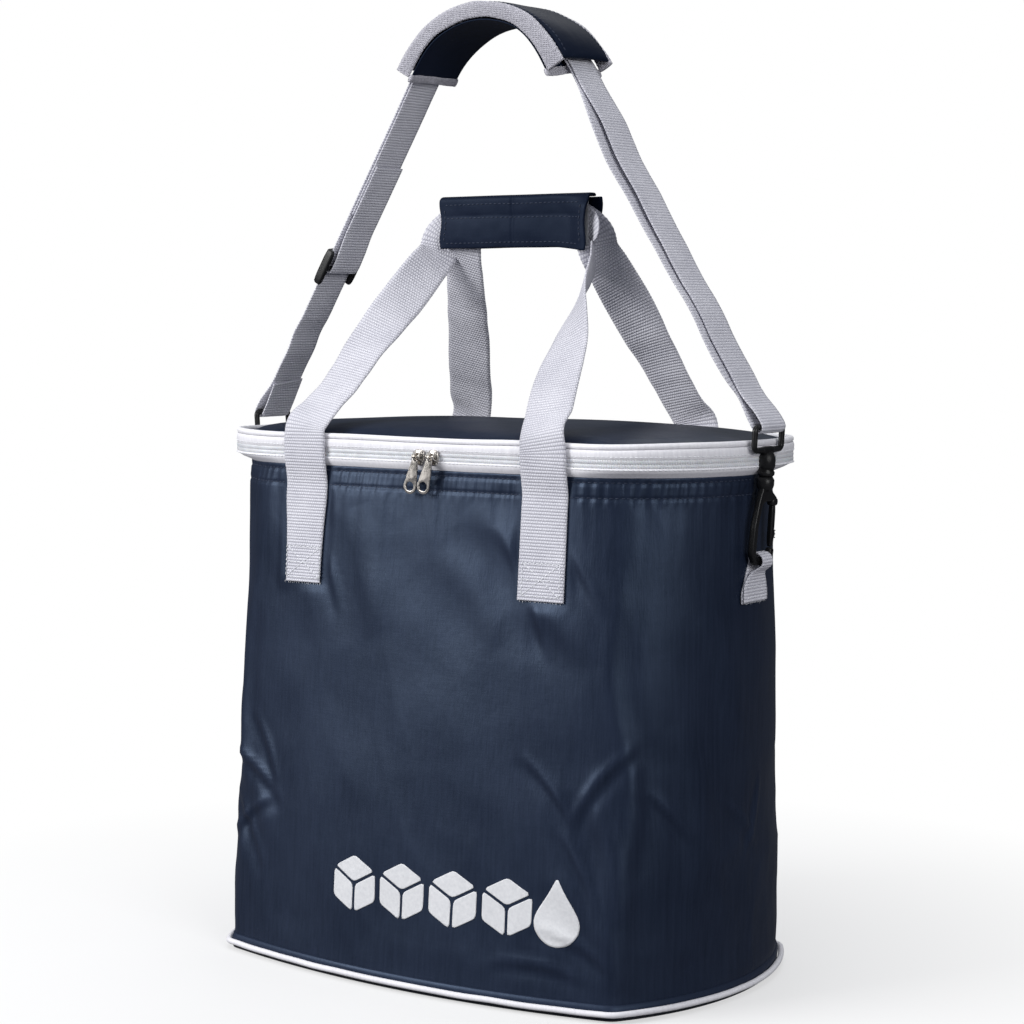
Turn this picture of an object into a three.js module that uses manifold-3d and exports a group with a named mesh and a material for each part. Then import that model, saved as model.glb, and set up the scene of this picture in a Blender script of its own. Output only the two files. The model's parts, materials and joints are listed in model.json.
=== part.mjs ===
// Insulated cooler bag with a zipped lid, two webbing handles joined by a wrap grip,
// and a clip-on shoulder strap. Millimetres, Z up, -Y is the front, +X the bag's right,
// and the origin is the middle of the base, on the floor.

import * as THREE from 'three';
import { mergeVertices } from 'three/addons/utils/BufferGeometryUtils.js';
import Module from 'manifold-3d';

const wasm = await Module();
wasm.setup();

// ---------------------------------------------------------------- driving dimensions

const GAP = 0.3; // clearance between neighbouring pieces

// A horizontal outline: half sizes at the middle of each side, how far the sides bow out,
// and the corner radius.
const RIM_OUTLINE = { width: 201, depth: 132.5, sideCrown: 29, frontCrown: 19, corner: 16 };
const BASE_OUTLINE = { width: 195.5, depth: 127, sideCrown: 29, frontCrown: 19, corner: 12 };
const MOUTH_OUTLINE = { width: 204, depth: 91.5, sideCrown: 9, frontCrown: 0, corner: 78 };
const LID_OUTLINE = { width: 209.5, depth: 94, sideCrown: 16, frontCrown: 0, corner: 62 };

const WALL_BOTTOM = 8;
const WALL_TOP = 350;
const WALL_LEVELS = [60, 120, 190, 265, 330]; // heights where the wall's outline is worked out
const SHELL_THICK = 1;
const FOAM_THICK = 4;
const LINER_THICK = 0.8;
const BASE_PANEL_THICK = 3.2;
const BASE_PIPING_RADIUS = 2.4;

const BAND_START = WALL_TOP + GAP; // the zip band between the wall and the lid
const FLARE_TOP = 356.2;
const ZIP_MIDDLE = 359;
const COIL_TOP = 361.7;
const BAND_TOP = 368;
const TAPE_THICK = 1;
const COIL_THICK = 2;
const LID_PIPING_RADIUS = 2.1;
const LID_EDGE = 370.5;
const LID_DOME = 9;
const LID_INSET = 4.6; // from the lid's outline to the domed panel

const SLIDER_MIDDLES = { left: -1, right: 11 };
const PULL_LENGTH = 27;

const WEBBING_THICK = 1.6;
const HANDLE_WIDTH = 36;
const HANDLE_X = 101; // middle of each handle leg where it is sewn on
const TAB_BOTTOM = 268;
const FOLD_HEIGHT = 346; // where a handle leg leaves its sewn tab
const GRIP = { half: 64, low: 501, high: 538, y: 16.5, webbing: 27 };

const STRAP_WIDTH = 30;
const EYE_PIVOT = { x: 208.5, z: 296 }; // where each hook hangs in its side tab
const HOOK_TILT = THREE.MathUtils.degToRad(3.8);
const HOOK_THICK = 5;
const BAR_RISE = 85.8; // from the pivot to the strap bar, along the hook
const BAR_SIZE = 3.6;
const ARC_CENTRE_Z = 585;
const ARC_RADIUS = 77; // middle of the outer strap ply, over the shoulder
const PLY_STEP = 2.2;
const ADJUSTER_RISE = 126; // from the strap bar up the left leg
const PAD_HALF_ANGLE = THREE.MathUtils.degToRad(60);
const PAD_HALF_WIDTH = 30;

// ---------------------------------------------------------------- materials

function fabric(colour) {
  return new THREE.MeshStandardMaterial({ color: colour, roughness: 0.75, metalness: 0 });
}

const navy = fabric(0x2a3446);
const baseCloth = fabric(0x1a202c);
const whiteTape = fabric(0xdcdce2);
const webbingCloth = fabric(0xd2d2da);
const greyLining = fabric(0x8d9098);
const foam = fabric(0xe9e9ea);
const hookTape = fabric(0x23262e);
const foil = new THREE.MeshStandardMaterial({ color: 0xc6c9cd, roughness: 0.3, metalness: 0.6 });
const coilPlastic = new THREE.MeshStandardMaterial({ color: 0xf0f0f0, roughness: 0.4 });
const nickel = new THREE.MeshStandardMaterial({ color: 0xb9b4ac, roughness: 0.25, metalness: 1 });
const blackPlastic = new THREE.MeshStandardMaterial({ color: 0x141316, roughness: 0.45 });

// ---------------------------------------------------------------- geometry helpers

function vector(x, y, z) {
  return new THREE.Vector3(x, y, z);
}

const STRIP_DROP = 2; // a ring's edge that drops this far is a face of a strip

// A closed body through rings with equal numbers of points, each anticlockwise seen from
// the end of the run. The run either joins up with its own start or is capped at both ends.
// Each facet's diagonal rises the same way where the surface goes up and where it comes down,
// so that nested walls, and the two faces of a thin twisted strip, stay parallel.
function loft(rings, joinsUp = false) {
  const count = rings[0].length;
  const points = rings.flat();
  const faces = [];
  const spans = joinsUp ? rings.length : rings.length - 1;
  for (let ring = 0; ring < spans; ring++) {
    const low = ring * count;
    const high = ((ring + 1) % rings.length) * count;
    const falls = points[high].z < points[low].z;
    for (let i = 0; i < count; i++) {
      const next = (i + 1) % count;
      const [a, b, c, d] = [low + i, low + next, high + next, high + i];
      const dips = points[b].z < points[a].z - STRIP_DROP;
      if (falls || dips) faces.push(a, b, d, b, c, d);
      else faces.push(a, b, c, a, c, d);
    }
  }
  if (!joinsUp) {
    addCap(points, faces, rings[0], 0, true);
    addCap(points, faces, rings[rings.length - 1], (rings.length - 1) * count, false);
  }
  const geometry = new THREE.BufferGeometry().setFromPoints(points);
  geometry.setIndex(faces);
  return geometry;
}

function addCap(points, faces, ring, first, facesBack) {
  const middle = points.length;
  const sum = ring.reduce((total, point) => total.add(point), new THREE.Vector3());
  points.push(sum.divideScalar(ring.length));
  ring.forEach((_, i) => {
    const next = first + ((i + 1) % ring.length);
    if (facesBack) faces.push(middle, next, first + i);
    else faces.push(middle, first + i, next);
  });
}

const FRONT_STEPS = 6;
const SIDE_STEPS = 4;
const CORNER_STEPS = 3;

// The points of one bowed side, grown outwards, from one corner's centre to the next.
function bowedSide(from, to, crown, grow, steps) {
  const chord = to.clone().sub(from);
  const outward = new THREE.Vector2(chord.y, -chord.x).normalize();
  const half = chord.length() / 2;
  if (crown < 0.01) {
    const shift = outward.clone().multiplyScalar(grow);
    return Array.from({ length: steps + 1 }, (_, i) =>
      from.clone().lerp(to, i / steps).add(shift));
  }
  const radius = (half * half + crown * crown) / (2 * crown);
  const centre = from.clone().lerp(to, 0.5).addScaledVector(outward, crown - radius);
  const spread = Math.asin(half / radius);
  const heading = outward.angle();
  return Array.from({ length: steps + 1 }, (_, i) => {
    const angle = heading - spread + (2 * spread * i) / steps;
    const reach = radius + grow;
    return new THREE.Vector2(Math.cos(angle), Math.sin(angle)).multiplyScalar(reach).add(centre);
  });
}

// The points between two sides, round the centre of a corner.
function cornerPoints(centre, before, after) {
  const start = before.clone().sub(centre);
  const turn = start.angle();
  const sweep = (after.clone().sub(centre).angle() - turn + 2 * Math.PI) % (2 * Math.PI);
  return Array.from({ length: CORNER_STEPS - 1 }, (_, i) => {
    const angle = turn + (sweep * (i + 1)) / CORNER_STEPS;
    return new THREE.Vector2(Math.cos(angle), Math.sin(angle))
      .multiplyScalar(start.length())
      .add(centre);
  });
}

// An outline at height z, moved inwards by inset: front, right, back and left sides in turn.
function planRing(outline, inset, z) {
  const x = outline.width - outline.sideCrown - outline.corner;
  const y = outline.depth - outline.frontCrown - outline.corner;
  const centres = [[-x, -y], [x, -y], [x, y], [-x, y]].map(([a, b]) => new THREE.Vector2(a, b));
  const grow = outline.corner - inset;
  const sides = centres.map((centre, i) => {
    const isFrontOrBack = i % 2 === 0;
    const crown = isFrontOrBack ? outline.frontCrown : outline.sideCrown;
    const steps = isFrontOrBack ? FRONT_STEPS : SIDE_STEPS;
    return bowedSide(centre, centres[(i + 1) % 4], crown, grow, steps);
  });
  const flat = sides.flatMap((side, i) => {
    const after = sides[(i + 1) % 4];
    return [...side, ...cornerPoints(centres[(i + 1) % 4], side[side.length - 1], after[0])];
  });
  return flat.map((point) => new THREE.Vector3(point.x, point.y, z));
}

const RING_COUNT = 2 * (FRONT_STEPS + SIDE_STEPS + 2) + 4 * (CORNER_STEPS - 1);
const RIGHT_SIDE_END = FRONT_STEPS + SIDE_STEPS + 1 + (CORNER_STEPS - 1);
const LEFT_SIDE_START = RING_COUNT - SIDE_STEPS - 1 - (CORNER_STEPS - 1);

function mixOutlines(low, high, share) {
  const mixed = {};
  for (const key of Object.keys(low)) {
    mixed[key] = THREE.MathUtils.lerp(low[key], high[key], share);
  }
  return mixed;
}

function wallOutline(z) {
  const share = (z - WALL_BOTTOM) / (WALL_TOP - WALL_BOTTOM);
  return mixOutlines(BASE_OUTLINE, MOUTH_OUTLINE, THREE.MathUtils.clamp(share, 0, 1));
}

// How far in front of the middle the wall's outer face stands, at x and height z.
function wallDepth(x, z) {
  const outline = wallOutline(z);
  const half = outline.width - outline.sideCrown - outline.corner;
  const crown = Math.max(outline.frontCrown, 0.01);
  const radius = (half * half + crown * crown) / (2 * crown);
  return outline.depth - (x * x) / (2 * (radius + outline.corner));
}

// A strip with a four-sided section that follows outlines: low edge, high edge and thickness.
function bandStrip(low, high, thickness, indices) {
  const edges = [
    planRing(low.outline, low.inset, low.z),
    planRing(low.outline, low.inset + thickness, low.z),
    planRing(high.outline, high.inset + thickness, high.z),
    planRing(high.outline, high.inset, high.z),
  ];
  if (!indices) {
    return loft(edges[0].map((_, i) => edges.map((edge) => edge[i])), true);
  }
  const rings = indices.map((i) => edges.map((edge) => edge[i]));
  pullIn(rings, 0, 1);
  pullIn(rings, rings.length - 1, rings.length - 2);
  return loft(rings);
}

// Shortens the end of a strip so that it clears the strip it meets.
function pullIn(rings, end, inner) {
  rings[end] = rings[end].map((point, i) => {
    const towards = rings[inner][i].clone().sub(point).normalize();
    return point.clone().addScaledVector(towards, GAP);
  });
}

// Ring numbers from the back left corner round the front to the back right corner.
function zipRun() {
  const numbers = [];
  for (let i = LEFT_SIDE_START; i <= RING_COUNT + RIGHT_SIDE_END; i++) {
    numbers.push(i % RING_COUNT);
  }
  return numbers;
}

function backRun() {
  const numbers = [];
  for (let i = RIGHT_SIDE_END; i <= LEFT_SIDE_START; i++) numbers.push(i);
  return numbers;
}

// A round cord lying along an outline.
function cord(outline, radius, z) {
  const sides = 6;
  const middle = planRing(outline, radius, z);
  const inner = planRing(outline, radius + 1, z);
  const rings = middle.map((point, i) => {
    const inward = inner[i].clone().sub(point).normalize();
    return Array.from({ length: sides }, (_, side) => {
      const angle = (2 * Math.PI * (side + 0.5)) / sides;
      const across = inward.clone().multiplyScalar(radius * Math.cos(angle));
      return point.clone().add(across).add(new THREE.Vector3(0, 0, radius * Math.sin(angle)));
    });
  });
  return loft(rings, true);
}

// Flat webbing through stations: a point, the way its broad face looks, and its width.
function ribbon(stations, thickness = WEBBING_THICK) {
  const rings = stations.map((station, i) => {
    const before = stations[Math.max(i - 1, 0)].at;
    const after = stations[Math.min(i + 1, stations.length - 1)].at;
    const along = after.clone().sub(before).normalize();
    const across = new THREE.Vector3().crossVectors(station.face, along).normalize();
    const out = new THREE.Vector3().crossVectors(along, across);
    return [[1, 1], [-1, 1], [-1, -1], [1, -1]].map(([a, b]) =>
      station.at.clone()
        .addScaledVector(across, (a * station.width) / 2)
        .addScaledVector(out, (b * thickness) / 2));
  });
  return loft(rings);
}

// A plate standing in the YZ plane: shape x runs along Y, shape y along Z, thickness along X.
function platesAcrossX(shape, thickness, curveSegments = 4) {
  const geometry = new THREE.ExtrudeGeometry(shape, {
    depth: thickness, bevelEnabled: false, curveSegments,
  });
  geometry.translate(0, 0, -thickness / 2);
  const turn = new THREE.Matrix4().makeBasis(vector(0, 1, 0), vector(0, 0, 1), vector(1, 0, 0));
  return geometry.applyMatrix4(turn);
}

// A plate standing in the XZ plane, with its thickness along Y.
function platesAcrossY(shape, thickness, curveSegments = 4) {
  const geometry = new THREE.ExtrudeGeometry(shape, {
    depth: thickness, bevelEnabled: false, curveSegments,
  });
  geometry.translate(0, 0, -thickness / 2);
  return geometry.rotateX(Math.PI / 2);
}

function rectangle(width, height, middleX = 0, middleY = 0) {
  return new THREE.Shape([
    new THREE.Vector2(middleX - width / 2, middleY - height / 2),
    new THREE.Vector2(middleX + width / 2, middleY - height / 2),
    new THREE.Vector2(middleX + width / 2, middleY + height / 2),
    new THREE.Vector2(middleX - width / 2, middleY + height / 2),
  ]);
}

function toManifold(geometry) {
  const plain = geometry.clone();
  plain.deleteAttribute('normal');
  plain.deleteAttribute('uv');
  const merged = mergeVertices(plain, 1e-5);
  return new wasm.Manifold(new wasm.Mesh({
    numProp: 3,
    vertProperties: Float32Array.from(merged.attributes.position.array),
    triVerts: Uint32Array.from(merged.index.array),
  }));
}

function join(...geometries) {
  const [first, ...rest] = geometries.map(toManifold);
  const mesh = rest.reduce((whole, piece) => whole.add(piece), first).getMesh();
  const geometry = new THREE.BufferGeometry();
  geometry.setAttribute('position', new THREE.BufferAttribute(mesh.vertProperties, 3));
  geometry.setIndex(new THREE.BufferAttribute(mesh.triVerts, 1));
  return geometry;
}

function piece(parent, name, geometry, material) {
  const mesh = new THREE.Mesh(geometry, material);
  mesh.name = name;
  parent.add(mesh);
  return mesh;
}

// ---------------------------------------------------------------- body of the bag

function wallRings(inset, top, bottom = WALL_BOTTOM) {
  return [bottom, ...WALL_LEVELS, top].map((z) => planRing(wallOutline(z), inset, z));
}

function outerShell() {
  const outside = wallRings(0, WALL_TOP);
  const inside = wallRings(SHELL_THICK, WALL_TOP).reverse();
  return loft([...outside, ...inside], true);
}

const LAYER_GAP = 0.6; // between the wall's nested layers, whose facets are not quite parallel
const FOAM_INSET = SHELL_THICK + LAYER_GAP;
const LINER_INSET = FOAM_INSET + FOAM_THICK + LAYER_GAP;
const LINING_TOP = WALL_TOP - 1.3;
const BASE_FOAM_TOP = BASE_PANEL_THICK + GAP + FOAM_THICK;

function wallFoam() {
  const outside = wallRings(FOAM_INSET, LINING_TOP);
  const inside = wallRings(FOAM_INSET + FOAM_THICK, LINING_TOP).reverse();
  return loft([...outside, ...inside], true);
}

function liner() {
  const floor = WALL_BOTTOM + LINER_THICK;
  const outside = wallRings(LINER_INSET, LINING_TOP);
  const inside = wallRings(LINER_INSET + LINER_THICK, LINING_TOP, floor).reverse();
  return loft([...outside, ...inside]);
}

function baseFoam() {
  const low = planRing(BASE_OUTLINE, FOAM_INSET, BASE_PANEL_THICK + GAP);
  return loft([low, planRing(BASE_OUTLINE, FOAM_INSET, BASE_FOAM_TOP)]);
}

function basePanel() {
  const inset = 2 * BASE_PIPING_RADIUS + GAP;
  return loft([planRing(RIM_OUTLINE, inset, 0), planRing(RIM_OUTLINE, inset, BASE_PANEL_THICK)]);
}

function basePiping() {
  return cord(RIM_OUTLINE, BASE_PIPING_RADIUS, BASE_PANEL_THICK + BASE_PIPING_RADIUS);
}

function rimBinding() {
  const low = { outline: MOUTH_OUTLINE, inset: FOAM_INSET, z: LINING_TOP + GAP };
  const high = { outline: MOUTH_OUTLINE, inset: FOAM_INSET, z: LINING_TOP + 2.1 };
  return bandStrip(low, high, FOAM_THICK + LINER_THICK + GAP);
}

function zipTapeLower() {
  const low = { outline: MOUTH_OUTLINE, inset: 0, z: BAND_START };
  const high = { outline: LID_OUTLINE, inset: 0, z: FLARE_TOP };
  return bandStrip(low, high, TAPE_THICK, zipRun());
}

function straightBand(bottom, top, thickness, run) {
  const low = { outline: LID_OUTLINE, inset: 0, z: bottom };
  const high = { outline: LID_OUTLINE, inset: 0, z: top };
  return bandStrip(low, high, thickness, run);
}

function hingeStrip() {
  const low = { outline: MOUTH_OUTLINE, inset: 0, z: BAND_START };
  const high = { outline: LID_OUTLINE, inset: 0, z: ZIP_MIDDLE - GAP };
  return bandStrip(low, high, TAPE_THICK, backRun());
}

// Webbing sewn flat on the front or back wall; side is -1 at the front, 1 at the back.
function handleTab(x, side) {
  const innerEdge = Math.abs(x) - HANDLE_WIDTH / 2;
  const stand = GAP + WEBBING_THICK / 2 + 0.3;
  const heights = [TAB_BOTTOM, (TAB_BOTTOM + FOLD_HEIGHT) / 2, FOLD_HEIGHT - GAP];
  const stations = heights.map((z) => ({
    at: vector(x, side * (wallDepth(innerEdge, z) + stand), z),
    face: vector(0, side, 0),
    width: HANDLE_WIDTH,
  }));
  return ribbon(stations);
}

// Webbing sewn on the end of the bag and looped at its top into the eye a hook clips into.
function sideTab(side) {
  const eyeWidth = 16;
  const eyeRadius = 5;
  const eyeZ = EYE_PIVOT.z - 3;
  const foot = TAB_BOTTOM - 3;
  const wallX = wallOutline(foot).width;
  const inner = wallX + 0.5 + WEBBING_THICK / 2;
  const outer = inner + WEBBING_THICK + GAP;
  const flat = (x, z, out) => ({
    at: vector(side * x, 0, z), face: vector(side * out, 0, 0), width: STRAP_WIDTH,
  });
  const stations = [flat(inner, foot, 1), flat(inner, foot + 12, 1)];
  const steps = 8;
  for (let i = 0; i <= steps; i++) {
    const angle = Math.PI - (Math.PI * 1.1 * i) / steps;
    const out = vector(side * Math.cos(angle), 0, Math.sin(angle));
    const at = vector(side * EYE_PIVOT.x, 0, eyeZ).addScaledVector(out, eyeRadius);
    stations.push({ at, face: out.clone().negate(), width: eyeWidth });
  }
  stations.push(flat(outer, foot + 15, -1), flat(outer, foot + 2, -1));
  return ribbon(stations);
}

// ---------------------------------------------------------------- lid

const DOME_SCALES = [1, 0.86, 0.62, 0.3];

function domeRings(drop) {
  const edge = planRing(LID_OUTLINE, LID_INSET, 0);
  return DOME_SCALES.map((scale) => {
    const z = LID_EDGE + LID_DOME * (1 - scale ** 3) - drop;
    return edge.map((point) => vector(point.x * scale, point.y * scale, z));
  });
}

const LID_SHELL_THICK = 1.2;

function lidPanel() {
  return loft([...domeRings(LID_SHELL_THICK).reverse(), ...domeRings(0)]);
}

function lidFoam() {
  const inset = TAPE_THICK + COIL_THICK;
  const bottom = ZIP_MIDDLE + 1.5;
  const low = planRing(LID_OUTLINE, inset, bottom);
  const shoulder = planRing(LID_OUTLINE, inset, LID_EDGE - 2 * LID_PIPING_RADIUS);
  return loft([low, shoulder, ...domeRings(LID_SHELL_THICK + GAP)]);
}

function lidLiner() {
  const bottom = ZIP_MIDDLE + 1.5 - GAP - LINER_THICK;
  const ring = (z) => planRing(LID_OUTLINE, TAPE_THICK + COIL_THICK + 1, z);
  return loft([ring(bottom), ring(bottom + LINER_THICK)]);
}

// ---------------------------------------------------------------- zip sliders

const SLIDER_PLATE = { width: 8.4, height: 10, thick: 2.4 };
const PULL_PIN_Y = -(LID_OUTLINE.depth + GAP + SLIDER_PLATE.thick + 2.6);

// A slider: a plate over the coil, and two lugs that hold the pull's pin.
function slider() {
  const { width, height, thick } = SLIDER_PLATE;
  const face = LID_OUTLINE.depth + GAP;
  const plate = new THREE.BoxGeometry(width, thick, height);
  plate.translate(0, -(face + thick / 2), 0);
  const lugDepth = -PULL_PIN_Y - face - thick / 2 + 1.2;
  const lugs = [-1, 1].map((side) => {
    const lug = new THREE.BoxGeometry(1, lugDepth, 4);
    return lug.translate(side * 2.6, -(face + thick / 2 + lugDepth / 2), 0);
  });
  const pin = new THREE.CylinderGeometry(0.9, 0.9, 5.6, 8).rotateZ(Math.PI / 2);
  return join(plate, ...lugs, pin.translate(0, PULL_PIN_Y, 0));
}

// A flat pull hung from an eye round the slider's pin, with a round hole at its foot.
function pull() {
  const half = 4.4;
  const foot = half + 2.3 - PULL_LENGTH;
  const shape = new THREE.Shape();
  shape.moveTo(-1.7, -1.9);
  shape.lineTo(-half, -8);
  shape.lineTo(-half, foot);
  shape.absarc(0, foot, half, Math.PI, 2 * Math.PI);
  shape.lineTo(half, -8);
  shape.lineTo(1.7, -1.9);
  const hole = new THREE.Path();
  hole.absarc(0, foot, 2.3, 0, 2 * Math.PI, true);
  shape.holes.push(hole);
  const eye = new THREE.Shape();
  eye.absarc(0, 0, 2.3, 0, 2 * Math.PI);
  const bore = new THREE.Path();
  bore.absarc(0, 0, 1.35, 0, 2 * Math.PI, true);
  eye.holes.push(bore);
  return join(platesAcrossY(shape, 1.1), platesAcrossX(eye, 3.4));
}

function addZipSlider(parent, side) {
  const place = new THREE.Group();
  place.position.set(SLIDER_MIDDLES[side], 0, ZIP_MIDDLE);
  piece(place, `slider_${side}`, slider(), nickel);
  piece(place, `pull_${side}`, pull(), nickel).position.y = PULL_PIN_Y;
  parent.add(place);
}

// ---------------------------------------------------------------- handles and grip

// A handle from one tab up into the grip and down to the other; side is -1 front, 1 back.
function handleWebbing(side, gripY) {
  const foldY = LID_OUTLINE.depth + 1;
  const frontY = LID_OUTLINE.depth + 2;
  const creaseZ = LID_EDGE + 3;
  const middleZ = GRIP.high - 2.7 - GRIP.webbing / 2;
  const lean = vector(0, side * 0.78, 0.62);
  const upright = vector(0, side, 0);
  const legs = [
    [vector(-HANDLE_X, side * foldY, FOLD_HEIGHT + GAP), upright, HANDLE_WIDTH],
    [vector(-HANDLE_X, side * frontY, FOLD_HEIGHT + 7), upright, HANDLE_WIDTH],
    [vector(-HANDLE_X, side * frontY, creaseZ), upright, HANDLE_WIDTH],
    [vector(-HANDLE_X + 2, side * (frontY - 4), creaseZ + 9), lean, HANDLE_WIDTH],
    [vector(-HANDLE_X + 5.5, side * (frontY - 16), 400), lean, HANDLE_WIDTH - 1],
    [vector(-80, gripY + side * 24, 472), lean, HANDLE_WIDTH - 5],
    [vector(-77, gripY + side * 8, 492), lean, 30],
    [vector(-73, gripY + side * 0.2, 505), upright, 28.5],
    [vector(-66, gripY, 514), upright, 28],
    [vector(-56, gripY, 520), upright, 27.5],
    [vector(-42, gripY, middleZ), upright, GRIP.webbing],
  ];
  const left = legs.map(([at, face, width]) => ({ at, face, width }));
  const right = left.map(({ at, face, width }) => ({
    at: vector(-at.x, at.y, at.z), face, width,
  })).reverse();
  return ribbon([...left, ...right]);
}

// The layers of the grip, front to back, as distances from the front webbing's middle.
const LEAF_THICK = 2.3;
const LINING_THICK = 0.8;
const BACK_WEBBING_Y = GRIP.y + WEBBING_THICK + 0.5;
const LINING_Y = GRIP.y - WEBBING_THICK / 2 - 0.4 - LINING_THICK / 2;
const LEAF_Y = LINING_Y - LINING_THICK / 2 - GAP - LEAF_THICK / 2;
const FLAP_THICK = 2.1;
const FLAP_Y = BACK_WEBBING_Y + WEBBING_THICK / 2 + 0.9 + FLAP_THICK / 2;
const TOUCH_HEIGHT = 6;
const TOUCH_LENGTH = 84;

function box(width, depth, low, high, y) {
  const geometry = new THREE.BoxGeometry(width, depth, high - low);
  return geometry.translate(0, y, (low + high) / 2);
}

// The padded front leaf and the fold of fabric that crosses over both handles.
function gripCover() {
  const front = box(2 * GRIP.half, LEAF_THICK, GRIP.low, GRIP.high, LEAF_Y);
  const back = FLAP_Y + FLAP_THICK / 2;
  const depth = back - LEAF_Y;
  const top = box(2 * GRIP.half, depth, GRIP.high - 2, GRIP.high, LEAF_Y + depth / 2);
  return join(front, top);
}

function gripLining() {
  return box(2 * GRIP.half - 4, LINING_THICK, GRIP.low + 1, GRIP.high - 2 - GAP, LINING_Y);
}

function gripLoopStrip() {
  const y = LINING_Y + LINING_THICK / 2 + GAP + 0.8;
  return box(TOUCH_LENGTH, 1.6, GRIP.low + 1, GRIP.low + TOUCH_HEIGHT, y);
}

function gripFlap() {
  return box(2 * GRIP.half, FLAP_THICK, GRIP.low, GRIP.high - 2 - GAP, FLAP_Y);
}

function gripHookStrip() {
  const y = FLAP_Y - FLAP_THICK / 2 - GAP - 0.8;
  return box(TOUCH_LENGTH, 1.6, GRIP.low + 1, GRIP.low + TOUCH_HEIGHT, y);
}

// ---------------------------------------------------------------- shoulder strap

const ARC_CENTRE = vector(0, 0, ARC_CENTRE_Z);
const BAR_X = EYE_PIVOT.x + BAR_RISE * Math.sin(HOOK_TILT);
const BAR_Z = EYE_PIVOT.z + BAR_RISE * Math.cos(HOOK_TILT);
const BAR_WRAP = (BAR_SIZE / 2) * Math.SQRT2 + GAP + WEBBING_THICK / 2;

// The straight leg from a strap bar up to where it meets the arc over the shoulder.
function strapLeg(side) {
  const bar = vector(side * BAR_X, 0, BAR_Z);
  const reach = Math.hypot(BAR_X, BAR_Z - ARC_CENTRE_Z);
  const bearing = Math.atan2(BAR_X, BAR_Z - ARC_CENTRE_Z);
  const angle = bearing - Math.acos(ARC_RADIUS / reach);
  const out = vector(side * Math.sin(angle), 0, Math.cos(angle));
  const top = ARC_CENTRE.clone().addScaledVector(out, ARC_RADIUS);
  const up = top.clone().sub(bar).normalize();
  return { bar, out, up, angle, length: top.distanceTo(bar) };
}

// Points up one ply of a leg, spread apart at the bar and lying together above it.
function legPly(leg, ply, distances) {
  return distances.map((distance) => {
    const spread = 1 - THREE.MathUtils.smoothstep(distance, 4, 28);
    const settled = ply === 'outer' ? 0 : -PLY_STEP;
    const atBar = ply === 'outer' ? BAR_WRAP : -BAR_WRAP;
    const offset = THREE.MathUtils.lerp(settled, atBar, spread);
    return leg.bar.clone().addScaledVector(leg.up, distance).addScaledVector(leg.out, offset);
  });
}

// Points round the underside of a bar, from one ply of the leg to the other.
function roundBar(leg, from) {
  const steps = 6;
  return Array.from({ length: steps - 1 }, (_, i) => {
    const angle = (Math.PI * (i + 1)) / steps;
    const sideways = from === 'inner' ? -Math.cos(angle) : Math.cos(angle);
    return leg.bar.clone()
      .addScaledVector(leg.out, BAR_WRAP * sideways)
      .addScaledVector(leg.up, -BAR_WRAP * Math.sin(angle));
  });
}

function overShoulder(radius, fromAngle, toAngle) {
  const steps = 12;
  return Array.from({ length: steps + 1 }, (_, i) => {
    const angle = THREE.MathUtils.lerp(fromAngle, toAngle, i / steps);
    return vector(radius * Math.sin(angle), 0, ARC_CENTRE_Z + radius * Math.cos(angle));
  });
}

// A planar run of webbing, with its width along Y.
function flatRun(points) {
  const stations = points.map((at, i) => {
    const before = points[Math.max(i - 1, 0)];
    const after = points[Math.min(i + 1, points.length - 1)];
    const along = after.clone().sub(before).normalize();
    return { at, face: vector(along.z, 0, -along.x), width: STRAP_WIDTH };
  });
  return ribbon(stations);
}

// One length of webbing: looped and sewn at the left bar, over the shoulder, round the
// right bar and back along itself to just above the adjuster.
function strapWebbing() {
  const left = strapLeg(-1);
  const right = strapLeg(1);
  const up = (leg) => [0, 8, 16, 28, leg.length * 0.4, leg.length * 0.7];
  const down = (leg) => up(leg).reverse();
  const returnEnd = ADJUSTER_RISE + 45;
  const points = [
    ...legPly(left, 'inner', [28, 16, 8, 0]),
    ...roundBar(left, 'inner'),
    ...legPly(left, 'outer', up(left)),
    ...overShoulder(ARC_RADIUS, -left.angle, right.angle),
    ...legPly(right, 'outer', down(right)),
    ...roundBar(right, 'outer'),
    ...legPly(right, 'inner', up(right)),
    ...overShoulder(ARC_RADIUS - PLY_STEP, right.angle, -left.angle),
    ...legPly(left, 'inner', [left.length * 0.85, returnEnd]),
  ];
  return flatRun(points);
}

// The strap's sewn end: round the adjuster's middle bar and up under the returning ply.
function strapTail() {
  const leg = strapLeg(-1);
  const bar = leg.bar.clone()
    .addScaledVector(leg.up, ADJUSTER_RISE)
    .addScaledVector(leg.out, -WEBBING_THICK / 2 - 0.4 - 1.5);
  const wrap = 1.5 * Math.SQRT2 + GAP + WEBBING_THICK / 2;
  const at = (up, out) => bar.clone().addScaledVector(leg.up, up).addScaledVector(leg.out, out);
  const depth = -2 * PLY_STEP + WEBBING_THICK / 2 + 0.4 + 1.5;
  const points = [at(85, depth), at(60, depth), at(30, depth), at(12, -wrap), at(0, -wrap)];
  for (let i = 1; i <= 2; i++) {
    const angle = (Math.PI / 4) * i;
    points.push(at(-wrap * Math.sin(angle), -wrap * Math.cos(angle)));
  }
  return { points, leg };
}

// ---------------------------------------------------------------- shoulder strap hardware

const TRIGLIDE = { width: 38, length: 28, rail: 3.4, bar: 4, thick: 7 };

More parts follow.
